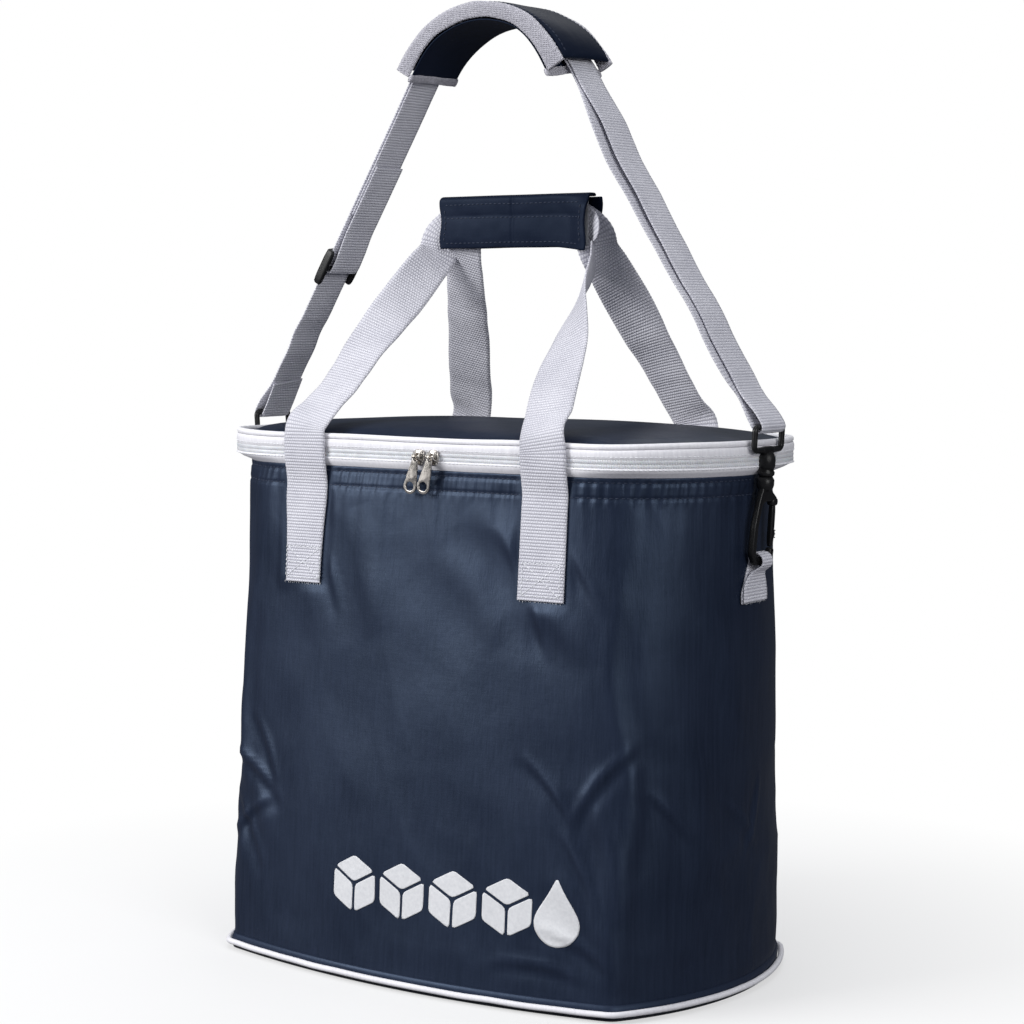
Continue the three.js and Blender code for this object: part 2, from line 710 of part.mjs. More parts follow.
// The adjuster, lying in its own XY plane: length along X, width along Y, outside up +Z.
function adjuster() {
  const { width, length, rail, bar, thick } = TRIGLIDE;
  const rails = [-1, 1].map((side) => {
    const block = new THREE.BoxGeometry(length, rail, thick);
    return block.translate(0, (side * (width - rail)) / 2, 0);
  });
  const outerBars = [-1, 1].map((side) => {
    const block = new THREE.BoxGeometry(bar, width, 1.6);
    return block.translate((side * (length - bar)) / 2, 0, thick / 2 - 0.8);
  });
  const middleBar = new THREE.BoxGeometry(3, width, 3).translate(0, 0, -(thick / 2) + 1.5);
  return join(...rails, ...outerBars, middleBar);
}

// The loop the strap passes through, with the flat swivel stem under it.
function hookEye() {
  const outer = rectangle(39, 19.6, 0, 77.8);
  const inner = [[-16, 74], [16, 74], [16, 84], [-16, 84]];
  outer.holes.push(new THREE.Path(inner.map(([a, b]) => new THREE.Vector2(a, b))));
  const loop = platesAcrossX(outer, BAR_SIZE);
  const stem = platesAcrossX(rectangle(12, 16, 0, 61.5), HOOK_THICK);
  return join(loop, stem);
}

// The hook in its own plane, open on one side where the gate closes it.
function hookBody() {
  const shape = new THREE.Shape();
  shape.moveTo(-5, 53);
  shape.lineTo(-5, 44);
  shape.lineTo(-14, 36);
  shape.lineTo(-14, 2.5);
  shape.absarc(-6, 2.5, 8, Math.PI, 1.5 * Math.PI);
  shape.lineTo(6, -5.5);
  shape.absarc(6, 2.5, 8, 1.5 * Math.PI, 2 * Math.PI);
  shape.lineTo(14, 5);
  shape.lineTo(9, 5);
  shape.lineTo(9, 2.5);
  shape.absarc(6, 2.5, 3, 0, -0.5 * Math.PI, true);
  shape.lineTo(-6, -0.5);
  shape.absarc(-6, 2.5, 3, -0.5 * Math.PI, -Math.PI, true);
  shape.lineTo(-9, 32);
  shape.lineTo(-5, 35.6);
  shape.lineTo(14, 35.6);
  shape.lineTo(14, 38);
  shape.lineTo(5, 44);
  shape.lineTo(5, 53);
  return platesAcrossX(shape, HOOK_THICK);
}

function hookGate() {
  return platesAcrossX(rectangle(4.2, 29.2, 11.5, 20), HOOK_THICK - 1);
}

function addHook(parent, side) {
  const sign = side === 'right' ? 1 : -1;
  const place = new THREE.Group();
  place.position.set(sign * EYE_PIVOT.x, 0, EYE_PIVOT.z);
  place.rotation.y = sign * HOOK_TILT;
  piece(place, `hook_eye_${side}`, hookEye(), blackPlastic);
  piece(place, `hook_${side}`, hookBody(), blackPlastic);
  piece(place, `gate_${side}`, hookGate(), blackPlastic);
  parent.add(place);
}

function addAdjuster(parent) {
  const { points, leg } = strapTail();
  piece(parent, 'strap_tail', flatRun(points), webbingCloth);
  const place = new THREE.Group();
  const middle = -WEBBING_THICK / 2 - 0.4 - 3 + TRIGLIDE.thick / 2;
  place.position.copy(leg.bar)
    .addScaledVector(leg.up, ADJUSTER_RISE)
    .addScaledVector(leg.out, middle);
  const across = new THREE.Vector3().crossVectors(leg.out, leg.up);
  place.quaternion.setFromRotationMatrix(new THREE.Matrix4().makeBasis(leg.up, across, leg.out));
  piece(place, 'adjuster', adjuster(), blackPlastic);
  parent.add(place);
}

// ---------------------------------------------------------------- shoulder pad

// A slab curved round the strap's arc, between two radii and two Y positions.
function curvedSlab(inner, outer, fromY, toY) {
  const steps = 12;
  const rings = Array.from({ length: steps + 1 }, (_, i) => {
    const angle = THREE.MathUtils.lerp(-PAD_HALF_ANGLE, PAD_HALF_ANGLE, i / steps);
    const at = (radius, y) =>
      vector(radius * Math.sin(angle), y, ARC_CENTRE_Z + radius * Math.cos(angle));
    return [at(inner, fromY), at(inner, toY), at(outer, toY), at(outer, fromY)];
  });
  return loft(rings);
}

function addShoulderPad(parent) {
  const sleeveTop = ARC_RADIUS + WEBBING_THICK / 2 + 0.8;
  const sleeveBottom = ARC_RADIUS - PLY_STEP - WEBBING_THICK / 2 - 0.8;
  const edge = PAD_HALF_WIDTH - 2.6;
  const foamTop = sleeveTop + 4;
  const coverTop = foamTop + GAP + 1;
  piece(parent, 'pad_cover', curvedSlab(foamTop + GAP, coverTop, -edge, edge), navy);
  piece(parent, 'pad_foam', curvedSlab(sleeveTop, foamTop, -edge, edge), foam);
  piece(parent, 'pad_lining', curvedSlab(sleeveBottom - 1, sleeveBottom, -edge, edge), greyLining);
  const bindings = { front: [-PAD_HALF_WIDTH, -edge - GAP], back: [edge + GAP, PAD_HALF_WIDTH] };
  for (const [name, [from, to]] of Object.entries(bindings)) {
    const slab = curvedSlab(sleeveBottom - 1, coverTop, from, to);
    piece(parent, `pad_binding_${name}`, slab, whiteTape);
  }
}

// ---------------------------------------------------------------- assembly

function addBody(bag) {
  piece(bag, 'outer_shell', outerShell(), navy);
  piece(bag, 'wall_foam', wallFoam(), foam);
  piece(bag, 'liner', liner(), foil);
  piece(bag, 'base_foam', baseFoam(), foam);
  piece(bag, 'base_panel', basePanel(), baseCloth);
  piece(bag, 'base_piping', basePiping(), whiteTape);
  piece(bag, 'rim_binding', rimBinding(), whiteTape);
  piece(bag, 'zip_tape_lower', zipTapeLower(), whiteTape);
  const lowerCoil = straightBand(FLARE_TOP + GAP, ZIP_MIDDLE - GAP / 2, COIL_THICK, zipRun());
  piece(bag, 'zip_coil_lower', lowerCoil, coilPlastic);
  piece(bag, 'hinge_strip', hingeStrip(), navy);
  for (const [end, sign] of [['left', -1], ['right', 1]]) {
    piece(bag, `front_tab_${end}`, handleTab(sign * HANDLE_X, -1), webbingCloth);
    piece(bag, `back_tab_${end}`, handleTab(sign * HANDLE_X, 1), webbingCloth);
    piece(bag, `side_tab_${end}`, sideTab(sign), webbingCloth);
  }
}

function addLid(bag) {
  piece(bag, 'lid_panel', lidPanel(), navy);
  piece(bag, 'lid_foam', lidFoam(), foam);
  piece(bag, 'lid_liner', lidLiner(), foil);
  piece(bag, 'lid_piping', cord(LID_OUTLINE, LID_PIPING_RADIUS, LID_EDGE - 0.2), whiteTape);
  const upperCoil = straightBand(ZIP_MIDDLE + GAP / 2, COIL_TOP, COIL_THICK, zipRun());
  piece(bag, 'zip_coil_upper', upperCoil, coilPlastic);
  const upperTape = straightBand(COIL_TOP + GAP, BAND_TOP, TAPE_THICK, zipRun());
  piece(bag, 'zip_tape_upper', upperTape, whiteTape);
  const backBand = straightBand(ZIP_MIDDLE + GAP, BAND_TOP, TAPE_THICK, backRun());
  piece(bag, 'lid_back_band', backBand, whiteTape);
}

function addHandles(bag) {
  piece(bag, 'front_handle', handleWebbing(-1, GRIP.y), webbingCloth);
  piece(bag, 'back_handle', handleWebbing(1, BACK_WEBBING_Y), webbingCloth);
  piece(bag, 'grip_cover', gripCover(), navy);
  piece(bag, 'grip_lining', gripLining(), greyLining);
  piece(bag, 'grip_loop_strip', gripLoopStrip(), hookTape);
  piece(bag, 'grip_flap', gripFlap(), navy);
  piece(bag, 'grip_hook_strip', gripHookStrip(), hookTape);
}

const bag = new THREE.Group();
addBody(bag);
addLid(bag);
addZipSlider(bag, 'left');
addZipSlider(bag, 'right');
addHandles(bag);
piece(bag, 'strap_webbing', strapWebbing(), webbingCloth);
addAdjuster(bag);
addHook(bag, 'left');
addHook(bag, 'right');
addShoulderPad(bag);

export default bag;
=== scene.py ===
"""Looks of the insulated cooler bag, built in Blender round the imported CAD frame.

Sizes are millimetres in the CAD frame. Meshes are scaled to metres when they are made.
"""

import functools
import json
import math

import bmesh
import bpy
import numpy as np
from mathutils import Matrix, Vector, noise
from mathutils.bvhtree import BVHTree


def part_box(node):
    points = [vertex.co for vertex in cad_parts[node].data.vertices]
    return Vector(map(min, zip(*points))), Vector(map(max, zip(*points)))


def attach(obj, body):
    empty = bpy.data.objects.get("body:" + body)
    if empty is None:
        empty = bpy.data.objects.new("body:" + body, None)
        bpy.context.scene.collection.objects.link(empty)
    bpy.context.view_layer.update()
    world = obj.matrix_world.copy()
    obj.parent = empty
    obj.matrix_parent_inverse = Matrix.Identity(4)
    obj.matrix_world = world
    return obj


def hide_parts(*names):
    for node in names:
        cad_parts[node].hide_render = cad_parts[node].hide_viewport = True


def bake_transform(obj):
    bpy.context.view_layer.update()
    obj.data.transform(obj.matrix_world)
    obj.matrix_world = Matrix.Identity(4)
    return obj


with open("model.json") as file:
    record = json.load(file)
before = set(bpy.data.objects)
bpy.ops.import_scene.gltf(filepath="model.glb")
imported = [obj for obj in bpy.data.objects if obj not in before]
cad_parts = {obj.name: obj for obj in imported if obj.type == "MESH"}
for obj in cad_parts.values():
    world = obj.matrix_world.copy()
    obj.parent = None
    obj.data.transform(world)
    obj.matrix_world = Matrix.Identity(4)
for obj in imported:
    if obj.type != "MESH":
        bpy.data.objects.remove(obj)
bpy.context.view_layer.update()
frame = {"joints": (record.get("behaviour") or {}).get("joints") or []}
MM = 0.001
TAU = 2 * math.pi


def corners(node):
    """Lowest and highest corner of a CAD node."""
    low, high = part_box(node)
    return np.array(low) / MM, np.array(high) / MM


def joint_place(name):
    joint = next(joint for joint in frame["joints"] if joint["name"] == name)
    return np.array(joint["pos_m"]) / MM


# ---------------------------------------------------------------- materials


class Shader:
    """A material's node tree, with short calls for the nodes this script uses."""

    def __init__(self, name):
        self.material = bpy.data.materials.new(name)
        self.material.use_nodes = True
        self.tree = self.material.node_tree
        self.tree.nodes.clear()
        self.out = self.tree.nodes.new("ShaderNodeOutputMaterial")
        self.place = self.tree.nodes.new("ShaderNodeTexCoord")

    def node(self, kind, values=None, **settings):
        made = self.tree.nodes.new("ShaderNode" + kind)
        for key, value in settings.items():
            setattr(made, key, value)
        for key, value in (values or {}).items():
            self.feed(made.inputs[key], value)
        return made

    def feed(self, socket, value):
        if isinstance(value, bpy.types.Node):
            value = value.outputs[0]
        if isinstance(value, bpy.types.NodeSocket):
            self.tree.links.new(value, socket)
        else:
            socket.default_value = value

    def maths(self, operation, a, b=0.0):
        return self.node("Math", {0: a, 1: b}, operation=operation)

    def plus(self, a, b, share):
        """a and a share of b."""
        return self.maths("ADD", a, self.maths("MULTIPLY", b, share))

    def spread(self, value, low, high, new_low, new_high):
        return self.node("MapRange", {0: value, 1: low, 2: high, 3: new_low, 4: new_high})

    def pointiness(self):
        return self.node("NewGeometry").outputs["Pointiness"]

    def cloud(self, size, scale=(1, 1, 1), detail=2.0):
        """Noise whose features are about size millimetres across."""
        where = self.node("Mapping", {"Vector": self.place.outputs["Object"], "Scale": scale})
        return self.node("TexNoise", {"Vector": where, "Scale": 1 / (size * MM), "Detail": detail})

    def weave(self, pitch):
        """Threads crossing at pitch millimetres, high where a thread comes over."""
        parts = self.node("SeparateXYZ", {0: self.place.outputs["Object"]})
        waves = []
        for axis, phase in (("X", 0.0), ("Y", 1.57), ("Z", 0.8)):
            turn = self.node("Math", {0: parts.outputs[axis], 1: TAU / (pitch * MM), 2: phase},
                             operation="MULTIPLY_ADD")
            waves.append(self.maths("SINE", turn))
        return self.maths("MULTIPLY", self.maths("ADD", waves[0], waves[1]), waves[2])

    def yarns(self, pitch):
        """Uneven threads running up and round, pitch millimetres apart."""
        return self.plus(self.cloud(pitch, (1, 1, 0.05), detail=1),
                         self.cloud(pitch, (0.06, 0.06, 1), detail=1), 0.25)

    def tones(self, factor, dark, light):
        mix = self.node("Mix", {0: factor, 6: (*dark, 1), 7: (*light, 1)}, data_type="RGBA")
        return mix.outputs[2]

    def bump(self, height, distance, strength=1.0, under=None):
        values = {"Height": height, "Distance": distance * MM, "Strength": strength}
        if under is not None:
            values["Normal"] = under
        return self.node("Bump", values)

    def finish(self, values):
        shader = self.node("BsdfPrincipled", values)
        self.tree.links.new(shader.outputs[0], self.out.inputs[0])
        return self.material

    def plain(self, tones, patches, rough, relief, **more):
        """A surface with mottled colour, patches of other roughness and a relief."""
        values = {"Base Color": self.tones(*tones), "Normal": self.bump(*relief),
                  "Roughness": self.spread(patches, 0.3, 0.7, *rough)}
        return self.finish(values | {key.replace("_", " "): value for key, value in more.items()})


def cloth(name, dark, light, pitch, rough=(0.5, 0.7), sheen=0.1, streak=(1, 1, 0.035),
          weave_depth=0.12, crumple=0.25, specular=0.4, tint=(1, 1, 1)):
    """Woven cloth: thread relief, soft crumpling, uneven colour and worn high edges."""
    s = Shader(name)
    patches = s.cloud(60, detail=3)
    fine = s.cloud(1.1, detail=2)
    mixed = s.plus(s.maths("MULTIPLY", patches, 0.4), s.cloud(1.9, streak, detail=3), 0.48)
    worn = s.spread(s.pointiness(), 0.5, 0.56, 0.0, 0.5)
    tone = s.maths("ADD", s.spread(s.plus(mixed, fine, 0.12), 0.32, 0.68, 0.0, 1.0), worn)
    threads = s.weave(pitch) if pitch > 1 else s.yarns(pitch * 1.6)
    return s.finish({
        "Base Color": s.tones(tone, dark, light),
        "Roughness": s.spread(s.plus(patches, fine, 0.4), 0.4, 1.0, *rough),
        "Specular IOR Level": specular,
        "Specular Tint": (*tint, 1),
        "Sheen Weight": sheen,
        "Sheen Roughness": 0.4,
        "Normal": s.bump(threads, weave_depth, 0.8, s.bump(s.cloud(14, detail=4), crumple)),
    })


RIB_PITCH = 2.1
BEAD_PITCH = 1.9


def webbing_material():
    """Ribbed webbing: each rib is broken into beads that step half a bead from row to row, with
    painted shade darkening the grooves between them.
    """
    s = Shader("white_webbing")
    parts = s.node("SeparateXYZ", {0: s.place.outputs["UV"]})
    rib = s.maths("SINE", s.maths("MULTIPLY", parts.outputs["Y"], math.pi / (RIB_PITCH * MM)))
    bead = s.maths("SINE", s.maths("MULTIPLY", parts.outputs["X"], TAU / (BEAD_PITCH * MM)))
    swell = s.maths("POWER", s.maths("ABSOLUTE", rib), 0.6)
    height = s.plus(s.maths("MULTIPLY", swell, 0.72), s.maths("MULTIPLY", rib, bead), 0.28)
    patches = s.cloud(24, detail=3)
    fuzz = s.cloud(0.5, detail=3)
    # painted shade: the base colour follows the rib height, going dark and bluish in the grooves
    # between ribs and beads
    tone = s.maths("ADD", s.spread(height, 0.0, 0.8, 0.0, 0.85),
                   s.spread(s.maths("ADD", patches, fuzz), 0.7, 1.3, -0.12, 0.2))
    relief = s.bump(height, 0.5, 0.9, s.bump(s.cloud(9, detail=3), 0.25))
    return s.plain((tone, (0.36, 0.36, 0.43), (0.78, 0.775, 0.83)), patches, (0.62, 0.85),
                   (fuzz, 0.05, 0.6, relief), Specular_IOR_Level=0.3, Sheen_Weight=0.12)


def foam_material():
    s = Shader("closed_cell_foam")
    cells = s.node("TexVoronoi", {"Vector": s.place.outputs["Object"], "Scale": 900.0})
    return s.plain((s.cloud(9), (0.62, 0.62, 0.6), (0.8, 0.8, 0.78)), s.cloud(3), (0.75, 0.95),
                   (cells, 0.3), Subsurface_Weight=0.05)


def film_material():
    """Metallised film: bright, crinkled, duller along its folds."""
    s = Shader("metallised_film")
    folds = s.node("TexVoronoi", {"Vector": s.cloud(40).outputs["Color"], "Scale": 9.0},
                   feature="DISTANCE_TO_EDGE")
    crinkle = s.cloud(7, detail=5)
    return s.finish({
        "Base Color": s.tones(crinkle, (0.44, 0.45, 0.47), (0.66, 0.67, 0.69)),
        "Metallic": 0.55,
        "Roughness": s.spread(crinkle, 0.3, 0.75, 0.32, 0.5),
        "Normal": s.bump(s.plus(crinkle, folds, 0.6), 0.5),
    })


def metal_material():
    """Bright nickel plate, lightly pitted, with rubbed edges and duller hollows."""
    s = Shader("nickel_plate")
    smears = s.cloud(3.5, detail=4)
    tone = s.plus(s.spread(s.pointiness(), 0.44, 0.58, 0.0, 0.75), smears, 0.3)
    return s.plain((tone, (0.34, 0.31, 0.285), (0.78, 0.74, 0.69)), smears, (0.2, 0.36),
                   (s.cloud(0.5), 0.03), Metallic=1.0)


def plastic_material():
    """Black moulded acetal with a fine spark texture and paler rubbed edges."""
    s = Shader("black_acetal")
    worn = s.spread(s.pointiness(), 0.5, 0.6, 0.0, 0.9)
    return s.plain((worn, (0.003, 0.003, 0.0035), (0.018, 0.018, 0.020)), s.cloud(8), (0.3, 0.45),
                   (s.cloud(0.45, detail=3), 0.05, 0.7), Specular_IOR_Level=0.32)


def coil_material():
    s = Shader("white_coil_nylon")
    return s.plain((s.cloud(6), (0.60, 0.59, 0.62), (0.80, 0.79, 0.81)), s.cloud(2), (0.3, 0.45),
                   (s.cloud(0.4), 0.03), Subsurface_Weight=0.08)


def touch_material():
    """Hook and loop tape: a dark tangle of fine fibres."""
    s = Shader("hook_and_loop")
    fuzz = s.cloud(0.5, detail=4)
    return s.plain((fuzz, (0.006, 0.006, 0.008), (0.035, 0.036, 0.044)), fuzz, (0.7, 0.95),
                   (fuzz, 0.4), Sheen_Weight=0.35)


def ink_material():
    """Thick white screen print, faintly broken up by the cloth under it."""
    s = Shader("white_screen_print")
    return s.plain((s.cloud(2.2, detail=4), (0.66, 0.67, 0.70), (0.88, 0.88, 0.90)), s.cloud(5),
                   (0.4, 0.6), (s.weave(NAVY_PITCH), 0.04))


NAVY_DARK = (0.0065, 0.0105, 0.0235)
NAVY_LIGHT = (0.0150, 0.0215, 0.0430)
NAVY_PITCH = 0.62
BLUE_GLOSS = (0.50, 0.68, 1.0)
WHITE_DARK = (0.68, 0.67, 0.72)
WHITE_LIGHT = (0.86, 0.85, 0.89)
LEVEL_STREAKS = (0.06, 1, 1)

NAVY = cloth("navy_coated_polyester", NAVY_DARK, NAVY_LIGHT, NAVY_PITCH, (0.38, 0.52), 0.0,
             weave_depth=0.10, crumple=0.22, specular=0.44, tint=BLUE_GLOSS)
NAVY_LID = cloth("navy_lid_polyester", NAVY_DARK, NAVY_LIGHT, NAVY_PITCH, (0.40, 0.54), 0.0,
                 LEVEL_STREAKS, 0.10, 0.3, specular=0.26, tint=BLUE_GLOSS)
NAVY_GRIP = cloth("navy_grip_polyester", (0.0065, 0.0100, 0.0240), NAVY_DARK, NAVY_PITCH,
                  (0.46, 0.6), 0.0, LEVEL_STREAKS, crumple=0.3, specular=0.12, tint=BLUE_GLOSS)
BASE_CLOTH = cloth("base_cloth", (0.006, 0.008, 0.014), (0.012, 0.015, 0.024), 1.1,
                   (0.55, 0.75), weave_depth=0.15, specular=0.3)
TAPE = cloth("white_zip_tape", WHITE_DARK, WHITE_LIGHT, 0.5, streak=(1, 1, 0.15),
             weave_depth=0.05, crumple=0.2, specular=0.35)
PIPING = cloth("white_piping", WHITE_DARK, WHITE_LIGHT, 0.8, weave_depth=0.1, crumple=0.15)
MESH_EDGE = cloth("grey_mesh_edging", (0.34, 0.335, 0.39), (0.68, 0.67, 0.74), 1.3, (0.6, 0.8),
                  streak=(1, 1, 1), weave_depth=0.45, crumple=0.3)
WEBBING = webbing_material()
LINING = cloth("grey_lining", (0.22, 0.23, 0.25), (0.33, 0.34, 0.36), 0.7, (0.6, 0.8),
               weave_depth=0.08)
THREAD = cloth("white_thread", (0.60, 0.61, 0.66), (0.80, 0.81, 0.84), 0.35, (0.6, 0.8))
NAVY_THREAD = cloth("navy_thread", (0.012, 0.018, 0.040), (0.026, 0.036, 0.070), 0.35)
FOAM = foam_material()
FILM = film_material()
NICKEL = metal_material()
PLASTIC = plastic_material()
COIL = coil_material()
TOUCH = touch_material()
INK = ink_material()


# ---------------------------------------------------------------- mesh helpers


def wander(points, size, seed):
    """Smooth noise from -1 to 1 at points, with features about size millimetres across."""
    shift = Vector((seed * 7.31 + 0.37, seed * 3.17 + 0.11, seed * 5.71 + 0.53))
    flat = np.asarray(points, float).reshape(-1, 3) / size
    values = [noise.noise(Vector(p) + shift) for p in flat]
    return np.array(values).reshape(np.shape(points)[:-1])


def along_noise(distance, size, seed):
    """The same noise along a line, at distances from its start."""
    return wander(np.asarray(distance, float)[..., None] * (1, 0, 0), size, seed)


def smooth(value, low, high):
    t = np.clip((np.asarray(value, float) - low) / (high - low), 0, 1)
    return t * t * (3 - 2 * t)


def unit(rows):
    return rows / np.maximum(np.linalg.norm(rows, axis=-1, keepdims=True), 1e-9)


def round_turns(sides):
    """Angles of a circle's points."""
    return np.arange(sides) * TAU / sides


def build(name, points, faces, material, uvs=None):
    mesh = bpy.data.meshes.new(name)
    mesh.from_pydata((np.asarray(points, float) * MM).tolist(), [], faces)
    mesh.polygons.foreach_set("use_smooth", [True] * len(mesh.polygons))
    if uvs is not None:
        layer = mesh.uv_layers.new(name="UVMap")
        loops = np.zeros(len(mesh.loops), int)
        mesh.loops.foreach_get("vertex_index", loops)
        layer.data.foreach_set("uv", (np.asarray(uvs, float)[loops] * MM).ravel())
    mesh.materials.append(material)
    shape = bmesh.new()
    shape.from_mesh(mesh)
    bmesh.ops.recalc_face_normals(shape, faces=shape.faces)
    shape.to_mesh(mesh)
    shape.free()
    made = bpy.data.objects.new(name, mesh)
    bpy.context.scene.collection.objects.link(made)
    return made


def settle(made, body, *nodes):
    """Fixes a piece to a body and lets it stand for CAD nodes."""
    if body:
        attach(made, body)
    if nodes:
        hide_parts(*nodes)
    return made


def grid_faces(rows, columns, wrap_rows=False, wrap_columns=False, first=0, flip=False):
    faces = []
    for r in range(rows if wrap_rows else rows - 1):
        low, high = first + r * columns, first + ((r + 1) % rows) * columns
        for c in range(columns if wrap_columns else columns - 1):
            d = (c + 1) % columns
            quad = (low + c, low + d, high + d, high + c)
            faces.append(quad[::-1] if flip else quad)
    return faces


def tube_faces(count, sides, joins_up=False):
    """Faces of a closed body through rings of points, with a cap at each open end."""
    faces = grid_faces(count, sides, wrap_rows=joins_up, wrap_columns=True)
    if not joins_up:
        faces += [tuple(range(sides))[::-1], tuple(range((count - 1) * sides, count * sides))]
    return faces


def tube(name, rings, material, joins_up=False, uvs=None):
    rings = np.asarray(rings, float)
    faces = tube_faces(*rings.shape[:2], joins_up)
    return build(name, rings.reshape(-1, 3), faces, material, uvs)


def grid_normals(grid, wrap):
    """Unit normals of a grid of points, rows going up and columns anticlockwise."""
    if wrap:
        across = np.roll(grid, -1, 1) - np.roll(grid, 1, 1)
    else:
        across = np.gradient(grid, axis=1)
    return unit(np.cross(across, np.gradient(grid, axis=0)))


def skin(name, grid, thickness, material):
    """A sheet with real thickness: the grid is its outer face."""
    rows, columns = grid.shape[:2]
    inner = grid - grid_normals(grid, False) * thickness
    points = np.concatenate([grid.reshape(-1, 3), inner.reshape(-1, 3)])
    half, last = rows * columns, (rows - 1) * columns
    faces = grid_faces(rows, columns) + grid_faces(rows, columns, first=half, flip=True)
    for c in range(columns - 1):
        faces.append((c, half + c, half + c + 1, c + 1))
        faces.append((last + c, last + c + 1, half + last + c + 1, half + last + c))
    for r in range(rows - 1):
        a, b = r * columns, (r + 1) * columns
        faces.append((a, b, half + b, half + a))
        a, b = a + columns - 1, b + columns - 1
        faces.append((a, half + a, half + b, b))
    return build(name, points, faces, material)


def merged(name, parts, material):
    """One object from several (points, faces) pairs."""
    points, faces, first = [], [], 0
    for some, links in parts:
        points.append(np.asarray(some, float))
        faces += [tuple(i + first for i in face) for face in links]
        first += len(some)
    return build(name, np.concatenate(points), faces, material)


def apply_modifiers(obj):
    bpy.context.view_layer.update()
    graph = bpy.context.evaluated_depsgraph_get()
    finished = bpy.data.meshes.new_from_object(obj.evaluated_get(graph))
    obj.modifiers.clear()
    obj.data = finished


def subdivide(obj):
    finer = obj.modifiers.new("subdivision", "SUBSURF")
    finer.levels = finer.render_levels = 1
    apply_modifiers(obj)


STITCH_RADIUS = 0.33


def sew(name, body, line, normals, material, slot, length=2.9, gap=1.1, sink=0.1):
    """A row of thread stitches lying on a line of points."""
    line = np.asarray(line, float)
    run = np.concatenate([[0], np.cumsum(np.linalg.norm(np.diff(line, axis=0), axis=1))])
    normals = np.broadcast_to(np.asarray(normals, float), line.shape)
    parts = []
    sides, places = 6, np.linspace(-1, 1, 5)
    turns = round_turns(sides)
    for begin in np.arange(gap, run[-1] - length, length + gap):
        middle = begin + length / 2
        at = [np.interp([begin, middle, begin + length], run, line[:, i]) for i in range(3)]
        a, m, b = np.stack(at, 1)
        out = np.array([np.interp(middle, run, normals[:, i]) for i in range(3)])
        ahead = (b - a) / max(np.linalg.norm(b - a), 1e-6)
        aside = np.cross(ahead, out)
        aside /= max(np.linalg.norm(aside), 1e-6)
        up = np.cross(aside, ahead)
        rings = []
        for t in places:
            size = STITCH_RADIUS * (0.55 + 0.45 * math.sqrt(max(0, 1 - t * t)))
            centre = m + ahead * t * length / 2 + up * (STITCH_RADIUS * 0.6 * (1 - t * t) - sink)
            ring = np.outer(np.cos(turns), up) + np.outer(np.sin(turns), aside)
            rings.append(centre + size * ring)
        parts.append((np.concatenate(rings), tube_faces(len(places), sides)))
    return settle(merged(name, parts, material), body)


# ---------------------------------------------------------------- outlines of the bag

# Half width, half depth, how far the sides and the front bow out, corner radius.
RIM = (201.0, 132.5, 29.0, 19.0, 16.0)
BASE = (195.5, 127.0, 29.0, 19.0, 12.0)
MOUTH = (204.0, 91.5, 9.0, 0.0, 78.0)
LID = (209.5, 94.0, 16.0, 0.0, 62.0)

WALL_LOW = corners("outer_shell")[0][2]
WALL_HIGH = corners("outer_shell")[1][2]
ZIP_Z = (corners("slider_left")[0][2] + corners("slider_left")[1][2]) / 2
BAND_TOP = corners("zip_tape_upper")[1][2]
ARC_POINTS = 48
CORNER_POINTS = 24
BAND_END = 168.6  # this far left and right of the middle the zip stops and the hinge begins


def blend_outlines(low, high, share):
    return tuple(a + (b - a) * share for a, b in zip(low, high))


def wall_outline(z):
    share = min(max((z - WALL_LOW) / (WALL_HIGH - WALL_LOW), 0.0), 1.0)
    return blend_outlines(BASE, MOUTH, share)


def wall_depth(x, z):
    """How far in front of the middle the nominal wall stands, at x and height z."""
    share = np.clip((np.asarray(z, float) - WALL_LOW) / (WALL_HIGH - WALL_LOW), 0, 1)
    width, depth, side_crown, front_crown, corner = blend_outlines(BASE, MOUTH, share)
    half = width - side_crown - corner
    crown = np.maximum(front_crown, 0.01)
    radius = (half * half + crown * crown) / (2 * crown)
    return depth - np.asarray(x) ** 2 / (2 * (radius + corner))


def bowed_side(start, end, crown, grow):
    """Points of a side that bows out by crown, moved out by grow."""
    chord = end - start
    half = np.hypot(*chord) / 2
    outward = np.array([chord[1], -chord[0]]) / (2 * half)
    share = np.linspace(0, 1, ARC_POINTS + 1)
    if crown < 0.01:
        return start + np.outer(share, chord) + outward * grow
    radius = (half * half + crown * crown) / (2 * crown)
    centre = (start + end) / 2 + outward * (crown - radius)
    spread = math.asin(half / radius)
    angles = math.atan2(outward[1], outward[0]) + spread * (2 * share - 1)
    return centre + (radius + grow) * np.column_stack([np.cos(angles), np.sin(angles)])


@functools.lru_cache(maxsize=None)
def outline_line(outline, inset):
    """A dense closed outline, anticlockwise from the front side's left end."""
    width, depth, side_crown, front_crown, corner = outline
    x, y = width - side_crown - corner, depth - front_crown - corner
    centres = np.array([(-x, -y), (x, -y), (x, y), (-x, y)])
    crowns = [front_crown, side_crown, front_crown, side_crown]
    sides = [
        bowed_side(centres[i], centres[(i + 1) % 4], crowns[i], corner - inset) for i in range(4)
    ]
    line = []
    for i, side in enumerate(sides):
        centre = centres[(i + 1) % 4]
        first, last = side[-1] - centre, sides[(i + 1) % 4][0] - centre
        turn = math.atan2(first[1], first[0])
        sweep = (math.atan2(last[1], last[0]) - turn) % TAU
        angles = turn + sweep * np.arange(1, CORNER_POINTS) / CORNER_POINTS
        line.append(side)
        line.append(centre + np.hypot(*first) * np.column_stack([np.cos(angles), np.sin(angles)]))
    return np.concatenate(line)


def evenly(line, count, closed=False):
    if closed:
        line = np.vstack([line, line[:1]])
    run = np.concatenate([[0], np.cumsum(np.linalg.norm(np.diff(line, axis=0), axis=1))])
    wanted = np.linspace(0, run[-1], count, endpoint=not closed)
    return np.column_stack([np.interp(wanted, run, line[:, i]) for i in range(line.shape[1])])


